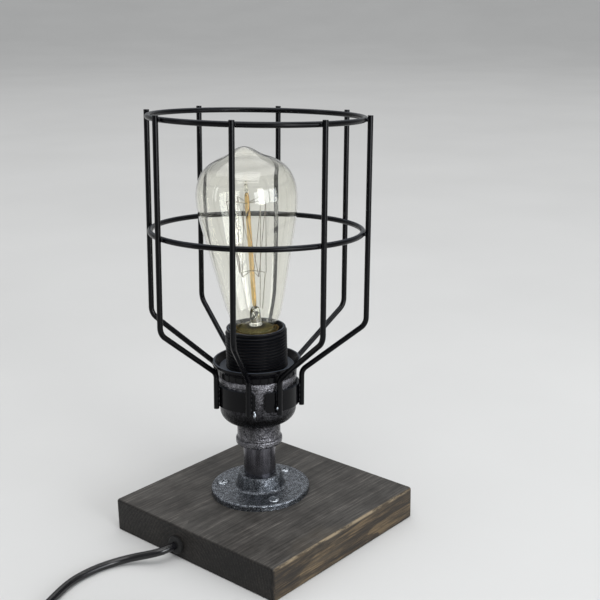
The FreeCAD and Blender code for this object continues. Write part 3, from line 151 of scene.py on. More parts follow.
def stained_pine():
    # Pine, planed and stained, under a thin wax. To the eye: an almost matt dark grey top with
    # fine lines along the fibres, nearly black ends with faint arcs, browner long sides, and
    # pale straw wood where the long edge was rubbed through the stain.
    made, add, shader, place = material("stained_pine_board", Specular_IOR_Level=0.3)
    x, y, z = add("SeparateXYZ", {"Vector": place}).node.outputs
    toward_front = add("Math", {0: y, 1: -1.0}, operation="MULTIPLY")
    short = add("Mapping", {"Vector": place, "Scale": (1 / 4, 1, 1)})
    long = add("Mapping", {"Vector": place, "Scale": (1 / 13, 1, 1)})
    longest = add("Mapping", {"Vector": place, "Scale": (1 / 20, 1, 1)})

    # Growth rings 2.6 mm apart about a pith that runs along X, just under the block.
    wander = add("TexNoise", {"Vector": short, "Scale": PER_MM / 60, "Detail": 2.0})
    shift = add("MapRange", {"Value": wander, "To Min": -10 * MM, "To Max": 10 * MM})
    from_pith = add("Mapping", {"Vector": place, "Scale": (1 / 20, 1, 1),
                                "Location": (0, -8 * MM, 6 * MM)})
    bent = add("VectorMath", {0: from_pith, 1: add("CombineXYZ", {"Y": shift, "Z": shift})})
    rings = add("TexWave", {"Vector": bent, "Scale": 120.8, "Distortion": 2.4, "Detail": 3.0,
                            "Detail Scale": 0.8}, "Fac",
                wave_type="RINGS", rings_direction="X", wave_profile="SAW")

    # Real fibres are 0.04 mm wide. They are drawn 0.8 mm wide, so that they show.
    fibres = add("TexNoise", {"Vector": longest, "Scale": PER_MM / 0.8, "Detail": 3.0,
                              "Roughness": 0.7})
    streaks = add("TexNoise", {"Vector": long, "Scale": PER_MM / 3.0, "Detail": 5.0,
                               "Roughness": 0.7})
    stain = add("TexNoise", {"Vector": place, "Scale": PER_MM / 24, "Detail": 4.0,
                             "Roughness": 0.6})
    lines = add("Math", {0: streaks, 1: 0.42}, operation="MULTIPLY")
    lines = add("Math", {0: fibres, 1: 0.48, 2: lines}, operation="MULTIPLY_ADD")
    grain = add("Math", {0: rings, 1: 0.10, 2: lines}, operation="MULTIPLY_ADD")
    top = add("ValToRGB", {"Fac": grain}, stops=[(0.38, "#32302D"), (0.47, "#42403D"),
                                                  (0.56, "#504D4A"), (0.68, "#706C67")])
    cloudy = add("ValToRGB", {"Fac": stain}, stops=[(0.36, "#A9A6A4"), (0.60, "#FFFFFF")])
    top = add("Mix", {"Factor": 0.75, 6: top, 7: cloudy}, 2, data_type="RGBA",
              blend_type="MULTIPLY")

    # End grain drinks the stain and goes nearly black, with paler arcs of early wood. Its open
    # pores are 0.03 mm wide, drawn at 0.9 mm.
    pores = add("TexNoise", {"Vector": place, "Scale": PER_MM / 0.9, "Detail": 3.0})
    mottle = add("Math", {0: stain, 1: 0.3}, operation="MULTIPLY")
    mottle = add("Math", {0: pores, 1: 0.5, 2: mottle}, operation="MULTIPLY_ADD")
    mottle = add("Math", {0: rings, 1: 0.14, 2: mottle}, operation="MULTIPLY_ADD")
    ends = add("ValToRGB", {"Fac": mottle}, stops=[(0.36, "#0D0B0A"), (0.46, "#161412"),
                                                   (0.60, "#2D2925")])
    from_middle = add("Math", {0: x}, operation="ABSOLUTE")
    end_face = add("MapRange", {"Value": from_middle,
                                "From Min": (BLOCK_HALF_LENGTH - 1.8) * MM,
                                "From Max": (BLOCK_HALF_LENGTH - 0.2) * MM},
                   interpolation_type="SMOOTHSTEP")

    # The long sides keep more of the wood's own colour, in streaks between darker stain.
    straw = add("TexNoise", {"Vector": long, "Scale": PER_MM / 2.2, "Detail": 5.0,
                             "Roughness": 0.7})
    straw = add("MapRange", {"Value": straw, "From Min": 0.38, "From Max": 0.62,
                             "To Min": 0.3, "To Max": 0.95}, interpolation_type="SMOOTHSTEP")
    brown = add("ValToRGB", {"Fac": grain}, stops=[(0.41, "#28221B"), (0.5, "#3F3529"),
                                                    (0.59, "#675740")])
    side = add("Mix", {"Factor": straw, 6: "#211E1B", 7: brown}, 2, data_type="RGBA")
    from_centre = add("Math", {0: y}, operation="ABSOLUTE")
    side_face = add("MapRange", {"Value": from_centre,
                                 "From Min": (BLOCK_HALF_WIDTH - 1.3) * MM,
                                 "From Max": (BLOCK_HALF_WIDTH - 0.2) * MM},
                    interpolation_type="SMOOTHSTEP")

    # The rubbed edge, and a faint worn patch beside it on top.
    rub = add("TexNoise", {"Vector": short, "Scale": PER_MM / 6.0, "Detail": 5.0,
                           "Roughness": 0.7})
    rubbed = add("MapRange", {"Value": rub, "From Min": 0.40, "From Max": 0.58},
                 interpolation_type="SMOOTHSTEP")
    high_up = add("MapRange", {"Value": z, "From Min": (BLOCK_TOP - 2.4) * MM,
                               "From Max": (BLOCK_TOP - 0.8) * MM},
                  interpolation_type="SMOOTHSTEP")
    at_edge = add("MapRange", {"Value": toward_front,
                               "From Min": (BLOCK_HALF_WIDTH - 1.5) * MM,
                               "From Max": (BLOCK_HALF_WIDTH - 0.4) * MM},
                  interpolation_type="SMOOTHSTEP")
    worn_edge = add("Math", {0: high_up, 1: rubbed}, operation="MULTIPLY")
    worn_edge = add("Math", {0: worn_edge, 1: at_edge}, operation="MULTIPLY")
    # The patch is 60 mm long and lies 26 mm left of the block's middle.
    from_patch = add("Math", {0: add("Math", {0: x, 1: 26 * MM})}, operation="ABSOLUTE")
    across = add("MapRange", {"Value": from_patch, "From Min": 30 * MM, "From Max": 8 * MM,
                              "To Max": 0.10}, interpolation_type="SMOOTHSTEP")
    inward = add("MapRange", {"Value": toward_front, "From Min": 50 * MM, "From Max": 68 * MM},
                 interpolation_type="SMOOTHSTEP")
    patch = add("Math", {0: across, 1: inward}, operation="MULTIPLY")
    patch = add("Math", {0: patch, 1: rubbed}, operation="MULTIPLY")
    worn = add("Math", {0: worn_edge, 1: patch}, operation="MAXIMUM")
    colour = add("Mix", {"Factor": side_face, 6: top, 7: side}, 2, data_type="RGBA")
    colour = add("Mix", {"Factor": worn, 6: colour, 7: "#857761"}, 2, data_type="RGBA")
    colour = add("Mix", {"Factor": end_face, 6: colour, 7: ends}, 2, data_type="RGBA")
    relief = add("Bump", {"Height": streaks, "Distance": 0.4 * MM, "Strength": 0.35})
    relief = add("Bump", {"Height": fibres, "Distance": 0.14 * MM, "Strength": 0.5,
                          "Normal": relief})
    drive(shader, Base_Color=colour, Normal=relief,
          Roughness=add("MapRange", {"Value": streaks, "To Min": 0.42, "To Max": 0.7}))
    return made


def cast_iron(name, colours, fleck_colour, grit_mm, depth_mm, rough, foot, head, painted_light_stops):
    # Malleable iron, sand cast, as raw iron or dipped in zinc. To the eye: a lumpy grey metal
    # skin that breaks each highlight into small squiggles, with painted highlights and painted
    # shade laid over it by height. Sand grains of 0.2 mm left the skin. They are drawn about
    # 1 mm wide, so that they show.
    made, add, shader, place = material(name, Metallic=1.0)
    grit = add("TexNoise", {"Vector": place, "Scale": PER_MM / grit_mm, "Detail": 4.0,
                            "Roughness": 0.6})
    lumps = add("TexNoise", {"Vector": place, "Scale": PER_MM / grit_mm / 3.2})
    fine = add("TexNoise", {"Vector": place, "Scale": PER_MM / 0.55})
    mixed = add("Mix", {"Factor": 0.4, "A": fine, "B": lumps})
    colour = add("ValToRGB", {"Fac": mixed}, stops=[(0.38, colours[0]), (0.5, colours[1]),
                                                    (0.62, colours[2])])
    if fleck_colour:
        # Zinc leaves small paler flecks.
        fleck = add("MapRange", {"Value": fine, "From Min": 0.59, "From Max": 0.65},
                    interpolation_type="SMOOTHSTEP")
        colour = add("Mix", {"Factor": fleck, 6: colour, 7: fleck_colour}, 2, data_type="RGBA")
    # Painted highlights and painted shade, set by height between the fitting's foot and
    # its head.
    height = add("SeparateXYZ", {"Vector": place}, "Z")
    height = add("MapRange", {"Value": height, "From Min": foot * MM, "From Max": head * MM})
    shade = add("ValToRGB", {"Fac": height}, stops=painted_light_stops)
    colour = add("Mix", {"Factor": 1.0, 6: colour, 7: shade}, 2, data_type="RGBA",
                 blend_type="MULTIPLY")
    relief = add("Bump", {"Height": lumps, "Distance": depth_mm * MM, "Strength": 0.5})
    relief = add("Bump", {"Height": grit, "Distance": depth_mm * MM, "Normal": relief})
    gloss = add("MapRange", {"Value": grit, "From Min": 0.3, "From Max": 0.7,
                             "To Min": rough + 0.10, "To Max": rough - 0.08})
    drive(shader, Base_Color=colour, Normal=relief, Roughness=gloss)
    return made


def drawn_steel_pipe():
    # Steel pipe, drawn, with its dark mill scale. To the eye: a smooth, half-glossy dark grey
    # with faint streaks along its length. Draw marks of 0.1 mm are drawn 1.1 mm wide.
    made, add, shader, place = material("black_steel_pipe", Metallic=0.92)
    upright = add("Mapping", {"Vector": place, "Scale": (1, 1, 1 / 14)})
    streaks = add("TexNoise", {"Vector": upright, "Scale": PER_MM / 1.1, "Detail": 4.0,
                               "Roughness": 0.6})
    clouds = add("TexNoise", {"Vector": place, "Scale": PER_MM / 9.0, "Detail": 3.0,
                              "Roughness": 0.6})
    scale = add("Mix", {"Factor": 0.45, "A": streaks, "B": clouds})
    colour = add("ValToRGB", {"Fac": scale}, stops=[(0.35, "#4E4D53"), (0.55, "#68676D"),
                                                    (0.7, "#85848B")])
    drive(shader, Base_Color=colour,
          Roughness=add("MapRange", {"Value": clouds, "To Min": 0.14, "To Max": 0.30}),
          Normal=add("Bump", {"Height": streaks, "Distance": 0.05 * MM, "Strength": 0.4}))
    return made


def black_enamel(name, rough):
    # Black enamel, dipped over welded wire. To the eye: deep satin black with a slight orange
    # peel, long thin highlights along each wire, cool grey dust in patches, and a grey on top
    # that is partly dust and partly a painted sheen. Dust specks of 0.1 mm are drawn 0.9 mm
    # wide.
    made, add, shader, place = material(name, Specular_IOR_Level=0.14)
    peel = add("TexNoise", {"Vector": place, "Scale": PER_MM / 2.2})
    specks = add("TexNoise", {"Vector": place, "Scale": PER_MM / 0.9, "Detail": 4.0,
                              "Roughness": 0.75})
    patches = add("TexNoise", {"Vector": place, "Scale": PER_MM / 16, "Detail": 3.0,
                               "Roughness": 0.6})
    settled = add("MapRange", {"Value": specks, "From Min": 0.58, "From Max": 0.74},
                  interpolation_type="SMOOTHSTEP")
    where = add("MapRange", {"Value": patches, "From Min": 0.45, "From Max": 0.7,
                             "To Max": 0.3}, interpolation_type="SMOOTHSTEP")
    spots = add("Math", {0: settled, 1: where}, operation="MULTIPLY")
    colour = add("Mix", {"Factor": spots, 6: "#040406", 7: "#34383E"}, 2, data_type="RGBA")
    gloss = add("MapRange", {"Value": patches, "To Min": rough - 0.06, "To Max": rough + 0.08})
    # The tops are greyed, partly by dust and partly by a painted sheen.
    drive(shader, Base_Color=add_dust_and_sheen(add, colour, "#3C4149", 0.4), Roughness=gloss,
          Normal=add("Bump", {"Height": peel, "Distance": 0.05 * MM, "Strength": 0.5}))
    return made


def moulded(name, low, high, rough, gloss=0.35, skin_mm=0.7, depth_mm=0.02, dust_and_sheen=0.0):
    # Phenolic, rubber, vinyl, nylon, black glass or carbon, out of a mould or a die. To the
    # eye: an even dark surface whose gloss changes slowly, with a fine skin. A skin of 0.1 mm
    # is drawn 0.7 mm wide or wider.
    made, add, shader, place = material(name, Specular_IOR_Level=gloss)
    skin = add("TexNoise", {"Vector": place, "Scale": PER_MM / skin_mm, "Detail": 3.0,
                            "Roughness": 0.6})
    flow = add("TexNoise", {"Vector": place, "Scale": PER_MM / 14})
    colour = add("ValToRGB", {"Fac": add("Mix", {"Factor": 0.6, "A": skin, "B": flow})},
                 stops=[(0.38, low), (0.62, high)])
    # Flat tops are greyed, partly as dust and partly as a painted reflection of the pale room.
    if dust_and_sheen:
        colour = add_dust_and_sheen(add, colour, "#4A5059", dust_and_sheen, 0.93, 0.995)
    drive(shader, Base_Color=colour,
          Roughness=add("MapRange", {"Value": flow, "To Min": rough - 0.07,
                                     "To Max": rough + 0.09}),
          Normal=add("Bump", {"Height": skin, "Distance": depth_mm * MM, "Strength": 0.5}))
    return made


def bright_metal(name, dark, light, rough):
    # Zinc, nickel, brass or solder, plated, turned, rolled or melted. To the eye: a bright
    # metal with soft handling marks in its gloss. Marks of 0.1 mm are drawn 1.2 mm wide.
    made, add, shader, place = material(name, Metallic=1.0)
    marks = add("TexNoise", {"Vector": place, "Scale": PER_MM / 1.2, "Detail": 4.0,
                             "Roughness": 0.65})
    colour = add("ValToRGB", {"Fac": marks}, stops=[(0.35, dark), (0.65, light)])
    drive(shader, Base_Color=colour,
          Roughness=add("MapRange", {"Value": marks, "To Min": rough - 0.08,
                                     "To Max": rough + 0.12}),
          Normal=add("Bump", {"Height": marks, "Distance": 0.03 * MM, "Strength": 0.4}))
    return made


def lamp_glass(name, tint, deeper_tint, rough=0.0):
    # Soda glass, blown or drawn. To the eye: clear, with a breath of its tint where it is
    # thick, and faintly wavy reflections.
    made, add, shader, place = material(name, IOR=1.5, Transmission_Weight=1.0, Roughness=rough)
    drawn_out = add("Mapping", {"Vector": place, "Scale": (1, 1, 1 / 3)})
    slow = add("TexNoise", {"Vector": drawn_out, "Scale": PER_MM / 22, "Detail": 1.0})
    drive(shader,
          Base_Color=add("Mix", {"Factor": slow, 6: tint, 7: deeper_tint}, 2, data_type="RGBA"),
          Normal=add("Bump", {"Height": slow, "Distance": 0.05 * MM, "Strength": 0.4}))
    return made


def basing_cement():
    # Basing cement, poured and fired. To the eye: an olive, grainy crust with painted shade in
    # its middle, where the stem stands over it.
    made, add, shader, place = material("olive_basing_cement", Roughness=0.7)
    # The middle is darkened as a painted shade under the stem; the ring outside it keeps the
    # crust.
    to_axis = (-LAMP_AXIS[0] * MM, -LAMP_AXIS[1] * MM, 0)
    centred = add("Mapping", {"Vector": place, "Location": to_axis, "Scale": (1, 1, 0)})
    radius = add("VectorMath", {0: centred}, "Value", operation="LENGTH")
    ring = add("MapRange", {"Value": radius, "From Min": 4.5 * MM, "From Max": 8.5 * MM},
               interpolation_type="SMOOTHSTEP")
    grains = add("TexNoise", {"Vector": place, "Scale": PER_MM / 1.1, "Detail": 4.0,
                              "Roughness": 0.7})
    crust = add("ValToRGB", {"Fac": grains}, stops=[(0.36, "#4A4528"), (0.64, "#8C8354")])
    drive(shader,
          Base_Color=add("Mix", {"Factor": ring, 6: "#3E3B33", 7: crust}, 2, data_type="RGBA"),
          Normal=add("Bump", {"Height": grains, "Distance": 0.2 * MM, "Strength": 0.6}))
    return made


def matt_floor():
    # Painted board, rolled matt. To the eye: a pale, even grey that hardly shines.
    made, add, shader, place = material("matt_pale_floor", Roughness=0.9,
                                        Specular_IOR_Level=0.1)
    slow = add("TexNoise", {"Vector": place, "Scale": PER_MM / 260, "Detail": 3.0})
    drive(shader, Base_Color=add("ValToRGB", {"Fac": slow},
                                 stops=[(0.3, "#CFCFCE"), (0.7, "#D3D3D2")]))
    return made


FINISHES = {
    # Planed pine under a stain: an almost matt dark grey with lines along the fibres.
    "stained_wood": stained_pine(),
    # Cast iron dipped in zinc: cool grey, speckled, with painted shade where the hub rises
    # from the plate.
    "grey_cast_iron": cast_iron(
        "galvanised_cast_iron_flange", ("#2F3237", "#62666C", "#999FA7"), "#CCD2DA",
        grit_mm=0.8, depth_mm=0.34, rough=0.32, foot=24, head=36,
        painted_light_stops=[(0.0, "#F4F4F4"), (0.16, "#F4F4F4"), (0.30, "#BEBEBE"), (1.0, "#D6D6D6")]),
    # Raw malleable iron: warm dark grey, with painted highlights on its two beads and painted
    # shade between them.
    "dark_cast_iron": cast_iron(
        "raw_malleable_iron_socket", ("#4B4A4F", "#757478", "#9F9EA3"), None,
        grit_mm=1.1, depth_mm=0.60, rough=0.24, foot=50, head=110,
        painted_light_stops=[(0.10, "#B0B0B0"), (0.18, "#F0F0F0"), (0.26, "#D4D4D4"), (0.40, "#606060"),
                (0.52, "#484848"), (0.64, "#808080"), (0.84, "#C4C4C4"), (0.93, "#F0F0F0")]),
    # Steel pipe in its mill scale: half-glossy dark grey.
    "pipe_steel": drawn_steel_pipe(),
    # Zinc plate on steel: bluish silver, the brightest metal on the lamp.
    "zinc_plated_steel": bright_metal("zinc_plated_screws", "#9298A0", "#D4DAE0", rough=0.24),
    # Enamel over wire: deep satin black with long thin highlights.
    "black_painted_steel": black_enamel("satin_black_enamel_on_wire", rough=0.20),
    # Brass, turned: yellow with soft tool marks.
    "brass": bright_metal("turned_brass", "#8A6A2C", "#D2AE5E", rough=0.30),
    # Phenolic, pressed: deep black and half glossy, grey on its flat tops, partly with dust and
    # partly with a painted reflection of the pale room.
    "black_moulding": moulded("phenolic_holder_moulding", "#040406", "#0A0A0D", rough=0.24,
                              gloss=0.14, dust_and_sheen=0.75),
    # Rubber, moulded: dull charcoal.
    "black_rubber": moulded("grommet_rubber", "#0C0C0D", "#191918", rough=0.52, skin_mm=1.0,
                            depth_mm=0.04),
    # Vinyl, extruded: black with one long wet highlight.
    "black_cord_sheath": moulded("extruded_vinyl_sheath", "#08080A", "#131316", rough=0.22,
                                 gloss=0.5, skin_mm=1.6),
    # Nylon, injected in a textured mould: flat grey-black without a sharp highlight.
    "black_switch_plastic": moulded("textured_switch_shell", "#0E0E10", "#1C1C20", rough=0.46,
                                    skin_mm=0.8, depth_mm=0.05),
    # Nickel plate on brass: warm silver.
    "nickel": bright_metal("nickel_plated_pins", "#9A968C", "#DAD6CC", rough=0.22),
    # Brass sheet, rolled and tarnished: dull olive gold.
    "bulb_cap_brass": bright_metal("bulb_cap_brass_sheet", "#6A6138", "#A89D66", rough=0.42),
    # Black glass, pressed: glossy brown-black.
    "bulb_cap_glass": moulded("cap_insulator_black_glass", "#0A0908", "#17140F", rough=0.16),
    # Soft solder, melted: a dull grey dome.
    "bulb_solder": bright_metal("soft_solder_contact", "#7C7E82", "#B8BBC0", rough=0.4),
    # Soda glass, blown: almost without colour.
    "clear_glass": lamp_glass("blown_bulb_glass", "#FEFEFB", "#FDFCF3"),
    # Soda glass, drawn to a rod: amber all through.
    "stem_glass": lamp_glass("amber_rod_glass", "#F2D9A4", "#E2BC74", rough=0.03),
    # Nickel wire, drawn: plain grey.
    "bulb_wire": bright_metal("nickel_support_wire", "#8A867E", "#B9B4A9", rough=0.35),
    # Carbon thread, baked: dull brown-grey.
    "filament_carbon": moulded("carbon_filament_thread", "#6B6055", "#8A7C6C", rough=0.5),
}


def dress(piece, finish):
    """Gives a piece its finish."""
    piece.data.materials.clear()
    piece.data.materials.append(finish)


def mesh_object(name, mesh, scale=1.0, smooth=True):
    """Turns a bmesh into an object in the scene. The scale goes into the mesh itself."""
    bmesh.ops.scale(mesh, vec=(scale, scale, scale), verts=mesh.verts)
    data = bpy.data.meshes.new(name)
    mesh.to_mesh(data)
    mesh.free()
    for face in data.polygons:
        face.use_smooth = smooth
    made = bpy.data.objects.new(name, data)
    bpy.context.scene.collection.objects.link(made)
    return made


def finished(name, mesh, body, slot, replaces=(), finish=None):
    """Turns a bmesh in millimetres into a piece that rides on a body."""
    piece = mesh_object(name, mesh, MM)
    dress(piece, finish or FINISHES[slot])
    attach(piece, body)
    if replaces:
        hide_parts(*replaces)
    return piece


def rounded(piece):
    """Rounds a piece with one level of subdivision."""
    made = piece.modifiers.new("Rounding", "SUBSURF")
    made.levels = made.render_levels = 1


def spun(profile, place, steps=64, mesh=None):
    """A profile of radii and heights turned about the Z axis, then put in place, in a mesh of
    its own or in one that is given. A profile that starts on the axis is closed by it."""
    mesh = mesh or bmesh.new()
    earlier = set(mesh.verts)
    corners = [mesh.verts.new((radius, 0.0, height)) for radius, height in profile]
    edges = [mesh.edges.new(pair) for pair in zip(corners, corners[1:])]
    if profile[0][0] > 0.0:
        edges.append(mesh.edges.new((corners[-1], corners[0])))
    bmesh.ops.spin(mesh, geom=corners + edges, cent=(0, 0, 0), axis=(0, 0, 1),
                   angle=math.tau, steps=steps, use_merge=True, use_duplicate=False)
    turned = [corner for corner in mesh.verts if corner not in earlier]
    bmesh.ops.remove_doubles(mesh, verts=turned, dist=1e-4)
    turned = [corner for corner in mesh.verts if corner not in earlier]
    bmesh.ops.recalc_face_normals(mesh, faces=mesh.faces)
    bmesh.ops.transform(mesh, matrix=place, verts=turned)
    return mesh


def paint_cad_nodes():
    """Every CAD node takes the finish that its slot in the record names."""
    for row in frame["record"]["subparts"]:
        dress(frame["nodes"][row["node"]], FINISHES[row["material_slot"]])


def cord_curve(name, points, slot):
    """A cord as one smooth spline with the route's points as its control points."""
    data = bpy.data.curves.new(name, "CURVE")
    data.dimensions = "3D"
    data.resolution_u = data.render_resolution_u = 10
    data.bevel_depth = CORD / 2000.0
    data.bevel_resolution = 5
    data.use_fill_caps = True
    line = data.splines.new("NURBS")
    line.points.add(len(points) - 1)
    for control, point in zip(line.points, points):
        control.co = (*metres(*point), 1.0)
    line.order_u = 3
    line.use_endpoint_u = True
    piece = bpy.data.objects.new(name, data)
    bpy.context.scene.collection.objects.link(piece)
    dress(piece, FINISHES[slot])
    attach(piece, "lamp")
    return piece


def coil_points():
    """Sixteen points a turn: inward on the table, one climb, then outward on top. Each half
    turn runs between two crossings of the coil's own X axis, each a radius and a height."""
    place = Matrix.Translation((-133.0, -121.8, 0.0)) @ turned_by(39)
    low, high = 3.8, 9.3
    outermost, step_in, innermost = 40.3, 2.75, 19.65
    inward = [(outermost - step_in * index, low) for index in range(7)] + [(innermost, low)]
    crossings = inward + [(radius, high) for radius, height in reversed(inward)]
    half_turn_points = 8
    points = []
    for index, (start, end) in enumerate(zip(crossings, crossings[1:])):
        side = 1 if index % 2 == 0 else -1
        middle = side * (start[0] - end[0]) / 2.0
        # A spline of this order runs a little inside its points.
        radius = (start[0] + end[0]) / 2.0 / 0.981
        for step in range(half_turn_points):
            turn = math.pi * (step + 0.5) / half_turn_points
            rise = 0.5 - 0.5 * math.cos(turn)
            height = start[1] + (end[1] - start[1]) * rise
            points.append(place @ Vector((middle + side * radius * math.cos(turn),
                                          -side * radius * math.sin(turn), height)))
    return points


LEAD_ROUTE = [
    (-71.5, 12.7, 9.0), (-78.5, 12.7, 9.0), (-85.0, 18.0, 7.3), (-92.0, 28.5, 4.2),
    (-102.0, 35.5, 2.6), (-116.0, 38.6, 2.5), (-133.0, 38.0, 2.5), (-152.0, 30.5, 2.5),
    (-165.5, 23.9, 2.5), (-173.5, 13.7, 2.5), (-176.2, 1.0, 3.6), (-173.12, -11.55, 7.0),
    (-166.2, -20.1, 7.0),
]
TO_COIL = [
    (-127.182, -68.283, 7.0), (-121.518, -75.277, 7.0), (-110.492, -85.559, 3.8),
    (-104.828, -92.553, 3.8),
]
FROM_COIL = [
    (-167.466, -143.276, 9.3), (-173.13, -136.282, 9.3), (-179.7, -125.9, 7.1),
    (-185.7, -113.1, 3.7), (-189.7, -99.8, 2.5), (-192.1, -87.3, 4.1), (-193.582, -77.14, 6.85),
    (-195.1, -70.0, 6.85),
]


def make_cords():
    """The cord from the lamp to its switch, and the rest of it with the put-away coil."""
    lead = cord_curve("cord_from_lamp", LEAD_ROUTE, "black_cord_sheath")
    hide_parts("cord_lamp_to_switch")
    put_away = cord_curve("cord_with_coil", TO_COIL + coil_points() + FROM_COIL,
                          "black_cord_sheath")
    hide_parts("cord_switch_to_coil", "cord_coil", "cord_coil_to_plug")


def make_stage():
    """A wide pale floor that sweeps up all round, so that no horizon shows from any side."""
    profile = [(0.0, 0.0), (4.0, 0.0), (4.8, 0.06), (5.5, 0.25), (6.0, 0.6), (6.2, 1.0)]
    floor = mesh_object("pale_sweep", spun(profile, Matrix.Identity(4), 96))
    dress(floor, matt_floor())


def soft_light(name, spot, target, size, watts, colour):
    """A rectangular light of a width and a height in metres, turned to its target."""
    data = bpy.data.lights.new(name, "AREA")
    data.shape = "RECTANGLE"
    data.size, data.size_y = size
    data.energy = watts
    data.color = linear(colour)[:3]
    lamp = bpy.data.objects.new(name, data)
    lamp.location = spot
    way = Vector(target) - Vector(spot)
    lamp.rotation_euler = way.to_track_quat("-Z", "Y").to_euler()
    lamp.visible_camera = False
    bpy.context.scene.collection.objects.link(lamp)


def make_lights():
    """A wide window, two tall strips for the streaks on the bulb, two wide soft lights above
    the lamp, and a pale room all round."""
    middle = (0.0, 0.0, 0.2)
    soft_light("window_right", (-0.03, -1.8, 0.44), middle, (1.85, 0.86), 22.0, "#F4F9FF")
    soft_light("strip_right", (-0.28, -1.25, 0.42), middle, (0.30, 0.8), 4.0, "#FFFFFF")
    soft_light("window_left", (-1.5, 0.95, 0.5), middle, (0.34, 0.9), 2.4, "#F6F9FF")
    soft_light("overhead", (-0.5, -0.6, 2.1), middle, (1.7, 1.7), 17.0, "#FFFFFF")
    soft_light("ceiling", (1.0, 0.8, 3.3), (1.0, 0.8, 0.0), (5.0, 5.0), 78.0, "#FFFFFF")
    world = bpy.data.worlds.new("pale_room")
    world.use_nodes = True
    back = world.node_tree.nodes["Background"]
    back.inputs["Color"].default_value = linear("#F2F4F6")
    back.inputs["Strength"].default_value = 0.42
    bpy.context.scene.world = world


def make_camera():
    """The camera that was fitted to the photograph."""
    data = bpy.data.cameras.new("photo_camera")
    data.sensor_width = 36.0
    data.lens = 64.63
    data.shift_x = -0.0946
    data.shift_y = 0.0037
    camera = bpy.data.objects.new("photo_camera", data)
    camera.location = metres(-472.43, -460.65, 355.49)
    camera.rotation_euler = (math.radians(73.122), 0.0, math.radians(-51.051))
    bpy.context.scene.collection.objects.link(camera)
    bpy.context.scene.camera = camera
    bpy.context.scene.view_settings.view_transform = "Standard"


def make_holder_sleeve():
    """The holder's outer sleeve with a real thread of 13.1 turns for the shade ring."""
    foot, height, root, crest = 100.3, 37.9, 18.95, 20.0
    first_turn, pitch, turns, steps_a_turn = 9.6, 2.0, 13.1, 72
    core = [(17.4, 0.0), (root, 0.0), (root, 8.1), (root + 0.15, 8.5), (root, 8.9),
            (root, 36.7), (root + 0.25, 37.0), (root + 0.25, 37.45), (root - 0.15, 37.82),
            (root - 0.6, height), (17.6, height), (17.3, 37.75), (16.9, 35.0), (15.4, 33.4),
            (15.0, 32.9), (15.0, 9.2), (17.4, 9.0)]
    mesh = spun(core, Matrix.Identity(4), 96)
    # The thread's section is sunk into the core. The thread starts just over the low bead and
    # runs out just under the rim.
    sunk, flank, shoulder, land = root - 0.6, 0.68, 0.26, 0.07
    section = [(root - 0.1, -flank), (crest - 0.16, -shoulder), (crest, -land), (crest, land),
               (crest - 0.16, shoulder), (root - 0.1, flank), (sunk, flank), (sunk, -flank)]
    corners = [mesh.verts.new((radius, 0.0, first_turn + up)) for radius, up in section]
    edges = [mesh.edges.new(pair) for pair in zip(corners, corners[1:] + corners[:1])]
    steps = int(steps_a_turn * turns)
    bmesh.ops.spin(mesh, geom=corners + edges, cent=(0, 0, 0), axis=(0, 0, 1),
                   dvec=(0, 0, pitch * turns / steps), angle=math.tau * turns, steps=steps,
                   use_merge=False, use_duplicate=False)
    open_ends = [edge for edge in mesh.edges if edge.is_boundary]
    bmesh.ops.holes_fill(mesh, edges=open_ends, sides=0)
    bmesh.ops.recalc_face_normals(mesh, faces=mesh.faces)
    place = Matrix.Translation((*LAMP_AXIS, foot)) @ turned_by(40)
    bmesh.ops.transform(mesh, matrix=place, verts=mesh.verts)
    finished("threaded_holder_sleeve", mesh, "lamp", "black_moulding", ["holder_sleeve"])


GLASS_OUTLINE = [
    (12.2, -1.0), (12.9, 1.4), (14.3, 3.6), (16.2, 7.0), (18.6, 15.0), (21.0, 26.0),
    (23.9, 40.4), (26.8, 54.0), (29.6, 67.0), (31.4, 77.0), (32.0, 86.0), (31.5, 92.0),
    (29.6, 98.4), (26.4, 103.6), (21.8, 107.3), (17.2, 109.6), (13.2, 111.1), (10.4, 112.5),
    (8.0, 114.1), (5.8, 115.6), (3.6, 116.6), (1.8, 117.1), (0.0, 117.3),
]


def make_bulb_glass():
    """The envelope: blown pear shape with the sealed tip left by the exhaust tube."""
    # The inside lies one wall in from the outline, and over the crown also one wall down. It
    # leaves out the last bend before the tip.
    wall, crown, last_bend = 0.8, 105.0, 2.5
    inner = [(max(radius - wall, 0.0), height - (wall if height > crown else 0.0))
             for radius, height in GLASS_OUTLINE if radius == 0.0 or radius > last_bend]
    mesh = spun(GLASS_OUTLINE[::-1] + inner, BULB, 64)
    rounded(finished("blown_glass_envelope", mesh, "bulb", "clear_glass", ["bulb_glass"]))


